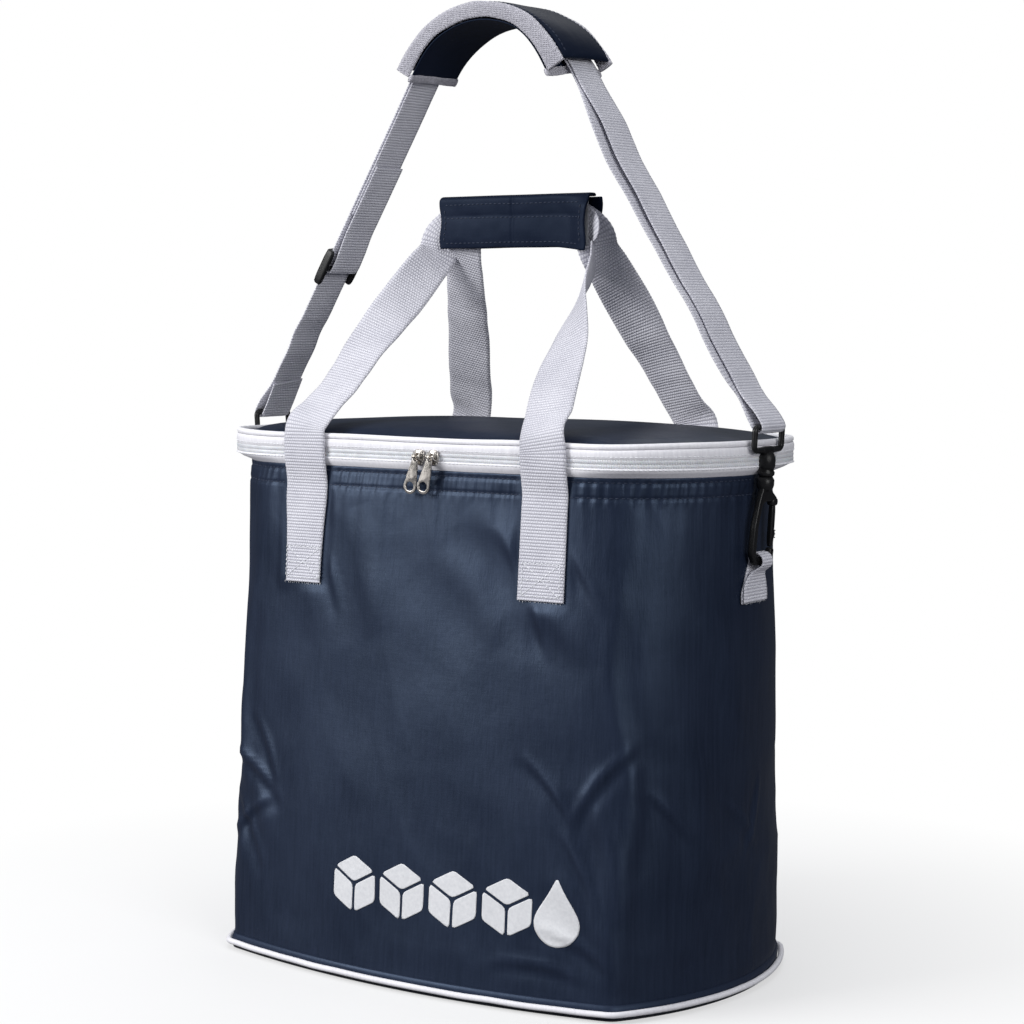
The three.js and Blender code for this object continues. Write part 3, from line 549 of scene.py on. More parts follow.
def outline_run(outline, inset, run, count):
    """Evenly spaced points: the whole outline from the front middle, the zip's run, or the back."""
    line = outline_line(tuple(outline), float(inset))
    if run == "all":
        return evenly(np.roll(line, -(ARC_POINTS // 2), axis=0), count, closed=True)
    line = evenly(line, 6000, closed=True)
    back = np.flatnonzero((line[:, 1] > 0) & (abs(line[:, 0]) < BAND_END))
    if run == "zip":
        line = np.roll(line, -back[-1], axis=0)[: len(line) - len(back) + 2]
        return evenly(line, count)
    return evenly(line[back], count)


# The band is pulled out of round at its corners: place, push and reach.
PINCHES = (
    ((176, 58), (8.0, 4.6), 40), ((-178, -56), (-5.0, -1.5), 34), ((-176, 58), (-3.0, 2.0), 40),
)


def ring_at(outline, inset, z, run="all", count=480):
    flat = outline_run(outline, inset, run, count).copy()
    share = min(max((outline[0] - MOUTH[0]) / (LID[0] - MOUTH[0]), 0.0), 1.0)
    if share > 0:
        for place, push, reach in PINCHES:
            near = np.exp(-(((flat - place) ** 2).sum(1)) / reach**2)
            flat += share * near[:, None] * np.array(push)
    return np.column_stack([flat, np.full(len(flat), z)])


def hoop(name, node, section, material, run="all", count=480, shift=None, body="bag"):
    """A closed section of (outline, inset, height) points carried round the bag."""
    rows = np.stack([ring_at(outline, inset, z, run, count) for outline, inset, z in section])
    if shift:
        rows = shift(rows)
    made = tube(name, rows.transpose(1, 0, 2), material, joins_up=run == "all")
    return settle(made, body, *([node] if node else []))


# ---------------------------------------------------------------- walls

# Creases: start and end as (distance round from the front middle, height), half width, depth.
CREASES = [
    (-172, 188, -150, 92, 8, 1.7), (-160, 150, -118, 66, 10, 1.3), (-176, 120, -160, 60, 7, 1.2),
    (38, 326, 122, 258, 12, 1.5), (78, 268, 146, 232, 10, 1.1), (20, 300, 70, 236, 15, 1.0),
    (-58, 322, -30, 236, 15, 1.2), (140, 150, 170, 62, 8, 1.7), (118, 92, 166, 34, 9, 1.2),
    (176, 40, 150, 300, 7, 1.5), (196, 190, 236, 96, 10, 1.3), (214, 260, 262, 170, 12, 1.2),
    (-176, 40, -150, 300, 7, 1.3), (-214, 250, -258, 150, 12, 1.3), (-230, 120, -196, 50, 9, 1.2),
    (380, 300, 470, 214, 12, 1.4), (420, 160, 500, 84, 12, 1.2), (-390, 310, -450, 190, 12, 1.4),
    (-470, 150, -400, 60, 11, 1.2), (-520, 290, -500, 180, 14, 1.1), (352, 250, 372, 80, 8, 1.4),
    (-352, 250, -372, 80, 8, 1.4),
    # sharp nips, most of them low down near the front corners
    (-176, 146, -110, 112, 3.4, 1.5), (-174, 78, -118, 116, 3.2, 1.4),
    (-170, 118, -128, 60, 3.6, 1.2), (-150, 176, -116, 116, 3.4, 1.1),
    (92, 168, 132, 122, 3.2, 1.4), (130, 124, 172, 178, 3.6, 1.5),
    (122, 122, 150, 66, 3.4, 1.2), (74, 30, 152, 24, 3.2, 1.3), (104, 58, 166, 30, 3.4, 1.1),
    (178, 150, 214, 108, 3.4, 1.3), (236, 140, 286, 96, 3.6, 1.3), (286, 150, 268, 92, 3.2, 1.1),
    (60, 316, 116, 232, 4.0, 1.1), (96, 322, 150, 262, 3.8, 1.0), (-96, 306, -66, 246, 4.0, 0.9),
    (400, 130, 452, 86, 3.6, 1.3), (470, 170, 436, 112, 3.4, 1.2), (-420, 120, -476, 160, 3.6, 1.3),
    (-300, 140, -262, 84, 3.6, 1.2),
]
GATHER_PITCH = 7.0
SEAM_ROWS = (346.2, 336.4)
TAB_BOX = corners("front_tab_right")
TAB_X = (TAB_BOX[0][0] + TAB_BOX[1][0]) / 2
TAB_HALF = (TAB_BOX[1][0] - TAB_BOX[0][0]) / 2
TAB_LOW = TAB_BOX[0][2]
WALL_COLUMNS = 600


def crease_relief(around, z):
    total = np.zeros_like(z)
    for a0, z0, a1, z1, width, depth in CREASES:
        length = math.hypot(a1 - a0, z1 - z0)
        ahead = ((around - a0) * (a1 - a0) + (z - z0) * (z1 - z0)) / length
        aside = ((around - a0) * (z1 - z0) - (z - z0) * (a1 - a0)) / length
        aside = aside + 5 * np.sin(ahead / 23)
        share = np.clip(ahead / length, 0, 1)
        taper = np.sin(np.pi * share) ** 0.8 * (np.abs(share - 0.5) < 0.5)
        ridge = np.exp(-((aside / width) ** 2))
        hollow = np.exp(-(((aside - 1.7 * width) / (1.4 * width)) ** 2))
        total += depth * taper * (ridge - 0.75 * hollow)
    return total


def gather_relief(around, z):
    """Small upright puckers where the wall is sewn to the zip band, and the folds below them."""
    below = WALL_HIGH - z
    strength = 0.6 + 0.5 * along_noise(around, 45, 6)
    drift = along_noise(around, 34, 5)
    puckers = np.cos(TAU * (around / GATHER_PITCH + 1.1 * drift + 0.012 * below))
    puckers = puckers + 0.35 * np.cos(TAU * (around / (0.43 * GATHER_PITCH) + 2 * drift))
    rows = np.exp(-(((below - 9) / 9) ** 4))
    folds = along_noise(around, 13, 7) + 0.5 * along_noise(around, 6.5, 8)
    reach = np.exp(-((below / 46) ** 2)) * smooth(below, 6, 16)
    seams = sum(np.exp(-(((z - row) / 1.1) ** 2)) for row in SEAM_ROWS)
    start = smooth(below, 0.3, 3)
    return start * (0.62 * puckers * rows * strength + 1.35 * folds * reach) - 0.75 * seams


def crumple_relief(points):
    """Sharp soft-edged creases, most of them low down, where the walls buckle."""
    low = 1 - smooth(points[..., 2], 70, 210)
    corner = smooth(np.abs(points[..., 0]), 90, 165)
    place = 0.3 + 0.9 * low * (0.35 + 0.65 * corner)
    turned = points * (1.0, 1.0, 0.62) + 0.25 * points[..., [2, 0, 1]]
    broad = 0.42 - np.abs(wander(turned, 66, 91)) ** 0.8
    small = 0.42 - np.abs(wander(turned, 27, 92)) ** 0.8
    return place * (2.3 * broad + 0.85 * small)


def wall_relief(points, around):
    """How far the cloth stands out from the nominal wall; it lies flat under the handle tabs."""
    x, z = points[..., 0], points[..., 2]
    rise = np.clip((z - WALL_LOW) / (WALL_HIGH - WALL_LOW), 0, 1)
    ends = smooth(z, WALL_LOW, WALL_LOW + 26) * (1 - smooth(z, WALL_HIGH - 22, WALL_HIGH - 1))
    belly = 1.6 * np.sin(np.pi * rise**0.8)
    slow = 1.9 * wander(points, 105, 1) + 0.75 * wander(points, 38, 2)
    soft = belly + slow + 1.25 * crease_relief(around, z) + crumple_relief(points)
    flat = wall_depth(TAB_X - TAB_HALF, z) - wall_depth(np.abs(x), z) + 0.1
    mask = 1 - smooth(np.abs(np.abs(x) - TAB_X), TAB_HALF + 1, TAB_HALF + 9)
    mask = mask * smooth(z, TAB_LOW - 8, TAB_LOW + 2) * (np.abs(points[..., 1]) > 60)
    relief = (soft * ends + gather_relief(around, z)) * (1 - mask) + flat * mask
    return np.clip(relief, -2.6, 6.0)


def wall_rows(levels, inset=0.0, count=WALL_COLUMNS):
    return np.stack([ring_at(wall_outline(z), inset, z, "all", count) for z in levels])


def distance_round(rows):
    """Distance along each ring from the front middle, positive to the right."""
    steps = np.linalg.norm(np.diff(rows, axis=1, append=rows[:, :1]), axis=2)
    whole = steps.sum(1, keepdims=True)
    run = np.cumsum(steps, axis=1) - steps
    return np.where(run > whole / 2, run - whole, run)


def make_walls():
    levels = np.concatenate([np.linspace(WALL_LOW - 2, 312, 94), np.linspace(313.5, WALL_HIGH, 34)])
    outside = wall_rows(levels)
    normals = grid_normals(outside, True)
    outside = outside + normals * wall_relief(outside, distance_round(outside))[..., None]
    inside = wall_rows(np.linspace(WALL_HIGH, WALL_LOW - 2, 8), 3.2)
    rows = np.concatenate([outside, inside])
    walls = tube("body_walls", rows.transpose(1, 0, 2), NAVY, joins_up=True)
    settle(walls, "bag", "outer_shell")
    for number, z in enumerate(SEAM_ROWS):
        row = int(np.argmin(np.abs(outside[:, 0, 2] - z)))
        line, out = (np.vstack([grid[row], grid[row, :1]]) for grid in (outside, normals))
        sew(f"band_seam_{number + 1}", "bag", line, out, NAVY_THREAD, "navy_cloth", 2.6, 1.4, 0.05)
    return walls


WALLS = make_walls()


# ---------------------------------------------------------------- lining, padding and base


def crinkle(points, size, depth, seed):
    """Sharp little folds, as in thin film."""
    folds = 1 - 2 * np.abs(wander(points, size, seed)) ** 0.7
    return depth * (folds + 0.5 * wander(points, size / 2.5, seed + 1))


def shrunk(ring, scales, z):
    """Smaller copies of a flat ring, all at height z."""
    return [ring * (s, s, 0) + (0, 0, z) for s in scales]


LINER_INSET = 6.2
LINER_TOP = corners("liner")[1][2]
LINER_FLOOR = corners("liner")[0][2]


def make_liner():
    outer = wall_rows(np.linspace(LINER_FLOOR, LINER_TOP, 14), LINER_INSET, 360)
    inner = wall_rows(np.linspace(LINER_TOP, LINER_FLOOR + 2, 60), LINER_INSET + 1.2, 360)
    fade = smooth(LINER_TOP - inner[..., 2], 0, 14)
    inner = inner - grid_normals(inner[::-1], True)[::-1] * (
        0.6 + crinkle(inner, 46, 0.9, 11) * fade
    )[..., None]
    floor = shrunk(inner[-1], np.linspace(0.985, 0.02, 24), LINER_FLOOR + 1.4)
    for ring in floor:
        ring[:, 2] += np.clip(crinkle(ring, 52, 0.8, 13), -0.8, 1.6)
    rings = [*shrunk(outer[0], (0.02, 0.5), LINER_FLOOR), *outer, *inner, *floor]
    settle(tube("film_liner", rings, FILM), "bag", "liner")


def make_padding():
    low, high = WALL_LOW + 0.5, corners("wall_foam")[1][2]
    section = [(wall_outline(z), 3.3, z) for z in np.linspace(low, high, 12)]
    section += [(wall_outline(z), 5.9, z) for z in np.linspace(high, low, 12)]
    hoop("wall_padding", "wall_foam", section, FOAM, count=300)
    low, high = corners("base_foam")[0][2], corners("base_foam")[1][2]
    outer = ring_at(BASE, 2.2, low, count=300)
    rings = shrunk(outer, (0.02, 0.5, 0.97), low)
    rings += shrunk(outer, (1,), low + 1) + shrunk(outer, (1,), high - 1)
    rings += shrunk(outer, (0.97, 0.5, 0.02), high)
    settle(tube("base_padding", rings, FOAM), "bag", "base_foam")


def make_rim_binding():
    """Folded binding over the raw edges of the mouth."""
    low, high = corners("rim_binding")[0][2] - 4, corners("rim_binding")[1][2]
    section = [(MOUTH, 4.5 - 3.1 * math.cos(a), high - 1.6 + 1.6 * math.sin(a))
               for a in np.linspace(0, np.pi, 9)]
    section += [(MOUTH, 7.6, low), (MOUTH, 7.2, low - 0.4), (MOUTH, 6.9, low),
                (MOUTH, 6.9, high - 3), (MOUTH, 2.2, high - 3), (MOUTH, 1.4, high - 2.6)]

    def pucker(rows):
        middle = rows.mean(0)
        wave = 0.18 * np.sin(np.arange(rows.shape[1]) * 1.1)
        return middle + (rows - middle) * (1 + wave[None, :, None] * 0.4)

    hoop("rim_binding_tape", "rim_binding", section, TAPE, count=700, shift=pucker)


def cord_section(outline, radius, z, sides):
    return [(outline, radius - radius * math.cos(t), z + radius * math.sin(t))
            for t in round_turns(sides)]


def middle_z(node):
    return (corners(node)[0][2] + corners(node)[1][2]) / 2


def make_base():
    low, high = corners("base_panel")[0][2], corners("base_panel")[1][2]
    outer = ring_at(RIM, 5.0, low, count=420)
    rings = [outer * (s, s, 1) for s in (0.02, 0.3, 0.6, 0.9, 0.985)]
    rings += [outer + (0, 0, 0.7), outer + (0, 0, high - 0.4)]
    rings += [outer * (s, s, 1) + (0, 0, high) for s in (0.98, 0.5, 0.02)]
    settle(tube("base_sheet", rings, BASE_CLOTH), "bag", "base_panel")

    def wobble(rows):
        return rows + 0.35 * wander(rows * (1, 1, 0), 26, 21)[..., None] * (0, 0, 1)

    section = cord_section(RIM, 2.05, middle_z("base_piping"), 12)
    hoop("base_piping_cord", "base_piping", section, PIPING, count=700, shift=wobble)
    # the wall's turned hem, sewn down behind the piping
    hem = [(RIM, 4.6, 4.6), (RIM, 4.2, 7.4), (BASE, -0.9, WALL_LOW + 2.6),
           (BASE, 0.4, WALL_LOW + 3.4), (BASE, 2.5, WALL_LOW), (RIM, 8, 4.6)]
    hoop("base_hem", None, hem, NAVY, count=420)


make_liner()
make_padding()
make_rim_binding()
make_base()


# ---------------------------------------------------------------- zip band

FLARE_LOW = 352.6  # the band is halfway out from the mouth to the lid's outline here
FLARE_TOP = corners("zip_tape_lower")[1][2]
UPPER_LOW = corners("zip_tape_upper")[0][2]
COIL_PITCH = 1.7
COIL_OVERLAP = 0.6
COIL_STEP = 0.425  # distance between two of the coil's sections


def band_drift(rows):
    """Soft waves in the band, dying out at the zip line, where the sliders run."""
    rows = rows.copy()
    flat = rows * (1, 1, 0)
    z = rows[..., 2]
    above = smooth(z, ZIP_Z + 2, BAND_TOP + 3)
    below = 1 - smooth(z, WALL_HIGH + 1, ZIP_Z - 2)
    away = np.hypot(rows[..., 0] / 150, rows[..., 1] / 70)
    calm = smooth(away, 0.4, 1.4)
    rows[..., 2] += 1.5 * wander(flat, 64, 31) * above * (1 - 0.4 * calm)
    push = 0.8 * wander(flat, 48, 32) * above + 0.4 * wander(flat, 30, 33) * below * calm
    reach = np.maximum(np.linalg.norm(rows[..., :2], axis=-1), 1)
    rows[..., :2] += rows[..., :2] / reach[..., None] * push[..., None]
    return rows


def make_tapes():
    """The flared tape on the bag's side of the zip, and the upright one on the lid's."""
    top, halfway = FLARE_TOP, blend_outlines(MOUTH, LID, 0.55)
    lower = [(MOUTH, 0.9, WALL_HIGH - 1.2), (MOUTH, -0.3, WALL_HIGH + 0.2),
             (halfway, -0.5, FLARE_LOW), (LID, -0.3, FLARE_LOW + 2.8), (LID, 0.1, top),
             (LID, 0.9, top), (halfway, 0.9, FLARE_LOW - 0.2), (MOUTH, 1.2, WALL_HIGH)]
    hoop("zip_tape_front_lower", "zip_tape_lower", lower, TAPE, "zip", 620,
         band_drift)
    low, high = UPPER_LOW, BAND_TOP
    upper = [(LID, 0.2, low), (LID, -0.1, low + 0.5), (LID, -0.35, low + 2), (LID, -0.5, low + 4),
             (LID, -0.2, high - 0.8), (LID, 0.3, high + 0.4), (LID, 1.0, high + 0.4),
             (LID, 0.7, high - 2), (LID, 1.0, low)]
    hoop("zip_tape_front_upper", "zip_tape_upper", upper, TAPE, "zip", 620,
         band_drift, "lid")


def make_coil(body, half, low, high):
    """Half of the nylon coil: one turn of the wire at each pitch."""
    middle = (low + high) / 2
    rise = (high - low) / 2 + COIL_OVERLAP
    section = [(LID, 0.85 - math.cos(t), middle + rise * math.sin(t)) for t in round_turns(8)]

    def turns(rows):
        run = np.arange(rows.shape[1]) * COIL_STEP
        phase = 0.0 if body == "bag" else 0.5
        lift = np.abs(np.sin(np.pi * (run / COIL_PITCH + phase)))[None, :, None]
        centre = rows.mean(0, keepdims=True)
        return band_drift(centre + (rows - centre) * (0.72 + 0.3 * lift))

    hoop(f"coil_teeth_{half}", f"zip_coil_{half}", section, COIL, "zip", 1680, turns,
         body)


def sew_band(name, body, inset, z, run, count, **stitch):
    line = band_drift(ring_at(LID, inset, z, run, count)[None])[0]
    flat = line * (1, 1, 0)
    sew(name, body, line, flat / np.linalg.norm(flat, axis=1, keepdims=True), THREAD,
        "white_tape", **stitch)


HINGE_TOP = 362.0


def make_back_band():
    """The cloth hinge at the back, and the lid's band above it."""
    halfway = blend_outlines(MOUTH, LID, 0.6)
    low = [(MOUTH, 0.2, WALL_HIGH - 1.5), (MOUTH, -0.5, WALL_HIGH + 0.5),
           (halfway, -0.5, FLARE_LOW + 1),
           (LID, -0.35, FLARE_LOW + 4.6), (LID, 0.5, ZIP_Z), (LID, 1.1, HINGE_TOP),
           (LID, 1.9, HINGE_TOP), (LID, 1.4, ZIP_Z), (LID, 0.6, FLARE_LOW + 4),
           (halfway, 0.5, FLARE_LOW + 0.8), (MOUTH, 1.2, WALL_HIGH)]
    strip = hoop("hinge_cloth", "hinge_strip", low, NAVY, "back", 360, body=None)
    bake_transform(strip)
    bottom = corners("lid_back_band")[0][2]
    high = [(LID, 0.2, bottom), (LID, -0.2, bottom + 0.6), (LID, -0.5, bottom + 3),
            (LID, -0.4, BAND_TOP - 1.5), (LID, 0.3, BAND_TOP + 0.4), (LID, 1.0, BAND_TOP + 0.4),
            (LID, 0.9, BAND_TOP - 3), (LID, 0.9, bottom)]
    hoop("lid_back_tape", "lid_back_band", high, TAPE, "back", 360, band_drift,
         "lid")
    sew_band("tape_seam_back", "lid", -0.45, 361.4, "back", 360, length=2.4, gap=1.2)


make_tapes()
make_coil("bag", "lower", FLARE_TOP, ZIP_Z - 0.12)
make_coil("lid", "upper", ZIP_Z + 0.12, UPPER_LOW)
for BODY, HEIGHT in (("lid", 363.6), ("bag", 355.2)):
    sew_band(f"tape_seam_{round(HEIGHT)}", BODY, -0.35, HEIGHT, "zip", 700, length=2.2, gap=1.0,
             sink=0.12)
make_back_band()


# ---------------------------------------------------------------- lid

LID_EDGE = corners("lid_panel")[1][2] - 9.0
LID_INSET = 4.4
LID_CROWN = 8.4
LID_SEAM = 3.4  # the seam's distance inside the lid's edge
PAD_SHOULDER = 368.6  # where the pad's upright edge begins to turn in
SIMULATION_FRAMES = 20


def vertex_array(mesh):
    places = np.zeros(len(mesh.vertices) * 3)
    mesh.vertices.foreach_get("co", places)
    return places.reshape(-1, 3) / MM


def move_vertices(mesh, places):
    mesh.vertices.foreach_set("co", (places * MM).ravel())
    mesh.update()


def puff(obj, voxel, pressure, cap):
    """Swells a closed form like padded cloth: remesh, blow it up, hold each point within cap."""
    mesher = obj.modifiers.new("remesh", "REMESH")
    mesher.mode = "VOXEL"
    mesher.voxel_size = voxel * MM
    mesher.use_smooth_shade = True
    apply_modifiers(obj)
    start = vertex_array(obj.data)
    cloth_part = obj.modifiers.new("cloth", "CLOTH")
    settings = cloth_part.settings
    settings.use_pressure = True
    settings.uniform_pressure_force = pressure
    settings.effector_weights.gravity = 0
    settings.quality = 5
    settings.tension_stiffness = 12
    settings.bending_stiffness = 0.4
    cloth_part.point_cache.frame_start = 1
    cloth_part.point_cache.frame_end = SIMULATION_FRAMES
    scene = bpy.context.scene
    for step in range(1, SIMULATION_FRAMES + 1):
        scene.frame_set(step)
    graph = bpy.context.evaluated_depsgraph_get()
    step = vertex_array(obj.evaluated_get(graph).data) - start
    obj.modifiers.clear()
    scene.frame_set(1)
    size = np.linalg.norm(step, axis=1, keepdims=True)
    move_vertices(obj.data, start + step * np.minimum(1, cap / np.maximum(size, 1e-6)))
    subdivide(obj)


def lid_height(scale):
    return LID_EDGE + LID_CROWN * (1 - scale**3)


def on_surface(points, obj, directions, reach):
    """Drops points onto an object, each along its own direction."""
    tree = BVHTree.FromObject(obj, bpy.context.evaluated_depsgraph_get())
    out = []
    for point, direction in zip(points, directions):
        ray = Vector(direction).normalized()
        begin = Vector(point * MM) - ray * reach * MM
        hit = tree.ray_cast(begin, ray, 3 * reach * MM)[0]
        out.append(np.array(hit) / MM if hit is not None else point)
    return np.array(out)


def make_lid():
    edge = ring_at(LID, LID_INSET, 0, count=420)
    rings = []
    for scale in np.concatenate([np.linspace(0.02, 0.9, 26), np.linspace(0.92, 1, 8)]):
        ring = edge * (scale, scale, 0)
        ring[:, 2] = lid_height(scale)
        ring[:, 2] += 1.1 * wander(ring * (1, 1, 0), 70, 41) * (1 - scale**4)
        rings.append(ring)
    bottom = corners("lid_foam")[0][2]
    rings += [edge + (0, 0, PAD_SHOULDER), edge + (0, 0, bottom + 1.2)]
    rings += shrunk(edge, (0.99, 0.6, 0.3, 0.02), bottom)
    pad = tube("lid_pad", rings, NAVY_LID)
    puff(pad, 4.5, 3.0, 2.2)
    places = vertex_array(pad.data)
    places[:, 2] = np.maximum(places[:, 2], bottom + 0.2)  # the film lies flat under the pad
    move_vertices(pad.data, places)
    settle(pad, "lid", "lid_panel", "lid_foam")
    hoop("lid_piping_cord", "lid_piping", cord_section(LID, 2.1, middle_z("lid_piping"), 10),
         PIPING, count=700, shift=band_drift, body="lid")
    make_lid_liner()
    line = ring_at(LID, LID_INSET + LID_SEAM, 0, count=600)
    line[:, 2] = lid_height(1 - LID_SEAM / LID[1]) + 0.9
    line = np.vstack([line, line[:1]])
    line = on_surface(line, pad, np.tile((0, 0, -1), (len(line), 1)), 14)
    sew("lid_seam", "lid", line, (0, 0, 1), NAVY_THREAD, "navy_cloth", 2.8, 1.3)


def make_lid_liner():
    low = corners("lid_liner")[0][2]
    edge = ring_at(LID, 4.2, 0, count=300)
    rings = shrunk(edge, np.linspace(0.02, 1, 34), low)
    for ring in rings:
        ring[:, 2] += np.clip(crinkle(ring, 48, 0.55, 17), -1.0, 0.4)
    rings += shrunk(edge, (1,), low + 0.8) + shrunk(edge, (0.98, 0.5, 0.02), low + 1.0)
    settle(tube("lid_film", rings, FILM), "lid", "lid_liner")


make_lid()


# ---------------------------------------------------------------- webbing


def flow(knots, values, wanted):
    """Smooth curve through values at the knots, read at the wanted places."""
    knots, values = np.asarray(knots, float), np.asarray(values, float)
    slopes = np.gradient(values, knots, axis=0)
    i = np.clip(np.searchsorted(knots, wanted, side="right") - 1, 0, len(knots) - 2)
    span = knots[i + 1] - knots[i]
    t = ((wanted - knots[i]) / span)[:, None]
    span = span[:, None]
    a, b, p, q = values[i], values[i + 1], slopes[i] * span, slopes[i + 1] * span
    return (
        a * (1 + 2 * t) * (1 - t) ** 2
        + p * t * (1 - t) ** 2
        + b * t * t * (3 - 2 * t)
        + q * t * t * (t - 1)
    )


RIB_DEPTH = 0.28


def ribbon_face(run, share, width, thick, side):
    """Offsets across and out of one face of a ribbon."""
    ribs = RIB_DEPTH * np.abs(np.sin(np.pi * run[:, None] / RIB_PITCH)) ** 0.7
    body = (thick / 2) * (1 - 0.4 * np.abs(share) ** 10)
    half = width[:, None] / 2 + 0.16 * np.cos(TAU * run[:, None] / RIB_PITCH)
    return np.stack([half * share, side * (body + ribs - RIB_DEPTH / 2)], -1)


def webbing(name, stations, material, thick=1.35, step=0.525, drift=0.0, seed=0.0,
            calm=None):
    """Ribbed webbing through stations of (point, the way its broad face looks, width).

    drift is how far it may wander off the line, calm(points) where it may not.
    """
    points = np.array([s[0] for s in stations], float)
    faces = np.array([s[1] for s in stations], float)
    widths = np.array([[s[2]] for s in stations], float)
    knots = np.concatenate([[0], np.cumsum(np.linalg.norm(np.diff(points, axis=0), axis=1))])
    run = np.linspace(0, knots[-1], max(8, int(knots[-1] / step)))
    middle = flow(knots, points, run)
    face = unit(flow(knots, faces, run))
    width = flow(knots, widths, run)[:, 0]
    along = unit(np.gradient(middle, axis=0))
    across = unit(np.cross(face, along))
    out = np.cross(along, across)
    free = np.ones(len(run)) if calm is None else calm(middle)
    wave = drift * free * (along_noise(run, 38, seed + 1) + 0.4 * along_noise(run, 16, seed + 2))
    curl = drift * free * along_noise(run, 55, seed + 3)
    middle = middle + out * wave[:, None]
    share = np.linspace(-1, 1, 11)
    share = np.sign(share) * np.abs(share) ** 0.85
    front = ribbon_face(run, share, width, thick, 1)
    back = ribbon_face(run, share[::-1], width, thick, -1)
    sides = np.concatenate([front, back], axis=1)
    cupped = curl[:, None] * (sides[..., 0] / (width[:, None] / 2)) ** 2
    ring = (
        middle[:, None]
        + across[:, None] * sides[..., :1]
        + out[:, None] * (sides[..., 1:] + cupped[..., None])
    )
    uvs = np.stack([sides[..., 0], np.repeat(run[:, None], sides.shape[1], 1)], -1)
    return tube(name, ring, material, uvs=uvs.reshape(-1, 2))


HANDLE_WIDTH = 2 * TAB_HALF
FOLD_Y, FOLD_Z = np.abs(joint_place("front_handle_fold"))[1:]
GRIP_LOW, GRIP_HIGH = corners("grip_cover")
FRONT_Y = corners("front_handle")[1][1] - 0.8
WEBBING_Y = {-1: FRONT_Y, 1: FRONT_Y + 2.1}  # the two handles lie on each other in the grip
TAB_STAND = 1.25  # from the wall to the middle of a tab's webbing
LEG_START, LEG_END = 376.0, 499.0  # heights between which a leg hangs free
BAR_TACK_Z = 341.0

# Where each leg meets the grip, and the way its face has turned by there: (side, end).
LEG_TOPS = {
    (-1, -1): (-68, (0.62, -0.78, 0.1)),
    (-1, 1): (66, (-0.86, -0.5, 0.0)),
    (1, -1): (-49, (-0.12, 0.99, 0.1)),
    (1, 1): (67, (-0.62, 0.78, 0.0)),
}
# How far each leg has moved in where it leaves the lid's edge, and each tab's width at its foot.
LEG_SHIFTS = {(-1, -1): 0, (-1, 1): 1.5, (1, -1): 3, (1, 1): 0}
FOOT_WIDTHS = {(-1, -1): 30, (-1, 1): 36.5, (1, -1): 37, (1, 1): 36}


def leg_stations(side, end):
    """One leg of a handle, from the foot of its sewn tab up into the end of the grip."""
    grip_y = WEBBING_Y[side]
    upright, lean = np.array([0, side, 0]), np.array([0, side * 0.78, 0.62])
    top_x, turned = LEG_TOPS[side, end]
    x = end * TAB_X
    rows = []
    foot = FOOT_WIDTHS[side, end]
    for z, share in ((TAB_LOW, 0), (TAB_LOW + 20, 0.15), (TAB_LOW + 40, 0.5), (TAB_LOW + 60, 1),
                     (FOLD_Z - 8, 1)):
        stand = side * (wall_depth(TAB_X - TAB_HALF, z) + TAB_STAND)
        rows.append(((x, stand, z), upright, foot + (HANDLE_WIDTH - foot) * share))
    front = FOLD_Y + 1
    rows += [
        ((x, side * (FOLD_Y - 0.3), FOLD_Z - 0.5), upright, HANDLE_WIDTH),
        ((x, side * front, FOLD_Z + 7), upright, HANDLE_WIDTH),
        ((x, side * (front + 0.6), LEG_START - 10), upright, HANDLE_WIDTH),
    ]
    begin = np.array([x - end * LEG_SHIFTS[side, end], side * (front - 0.4), LEG_START])
    last = np.array([top_x, grip_y + side * 1.5, LEG_END])
    turned = np.array(turned)
    for share in (0.0, 0.12, 0.28, 0.44, 0.6, 0.76, 0.9, 1.0):
        turn = smooth(share, 0.25, 1.0)
        start = upright + (lean - upright) * min(1.0, share / 0.12)
        rows.append((begin + (last - begin) * share, start * (1 - turn) + turned * turn,
                     HANDLE_WIDTH - 1 - 7 * share**3))
    into = -end
    reach = 8 if abs(top_x) > GRIP_HIGH[0] else 4
    between = (turned + upright) / 2
    rows += [
        ((top_x + into * reach * 0.35, grip_y + side * 0.3, LEG_END + 10), between, 28.5),
        ((top_x + into * reach * 1.3, grip_y, LEG_END + 17.5), upright, 27.5),
        ((top_x + into * reach * 3.0, grip_y, GRIP_HIGH[2] - 16.5), upright, 27),
    ]
    return rows


def handle_stations(side):
    """The handle from one sewn tab, up into the grip and down to the other tab."""
    middle = ((0, WEBBING_Y[side], GRIP_HIGH[2] - 16.2), np.array([0, side, 0]), 27)
    return leg_stations(side, -1) + [middle] + leg_stations(side, 1)[::-1]


def handle_calm(points):
    """1 on the free legs, 0 on the sewn tabs and inside the grip."""
    z = points[:, 2]
    return smooth(z, LEG_START + 2, LEG_START + 19) * (1 - smooth(z, LEG_END - 17, LEG_END + 3))


def make_handle(side, nodes):
    name = "front" if side < 0 else "back"
    handle = webbing(f"{name}_handle_webbing", handle_stations(side), WEBBING,
                     drift=2.2, seed=50 + side, calm=handle_calm)
    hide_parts(*nodes)
    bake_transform(handle)
    for end in (-1, 1):
        sew_tab(f"{name}_tab_seam_{'left' if end < 0 else 'right'}", end * TAB_X, side)


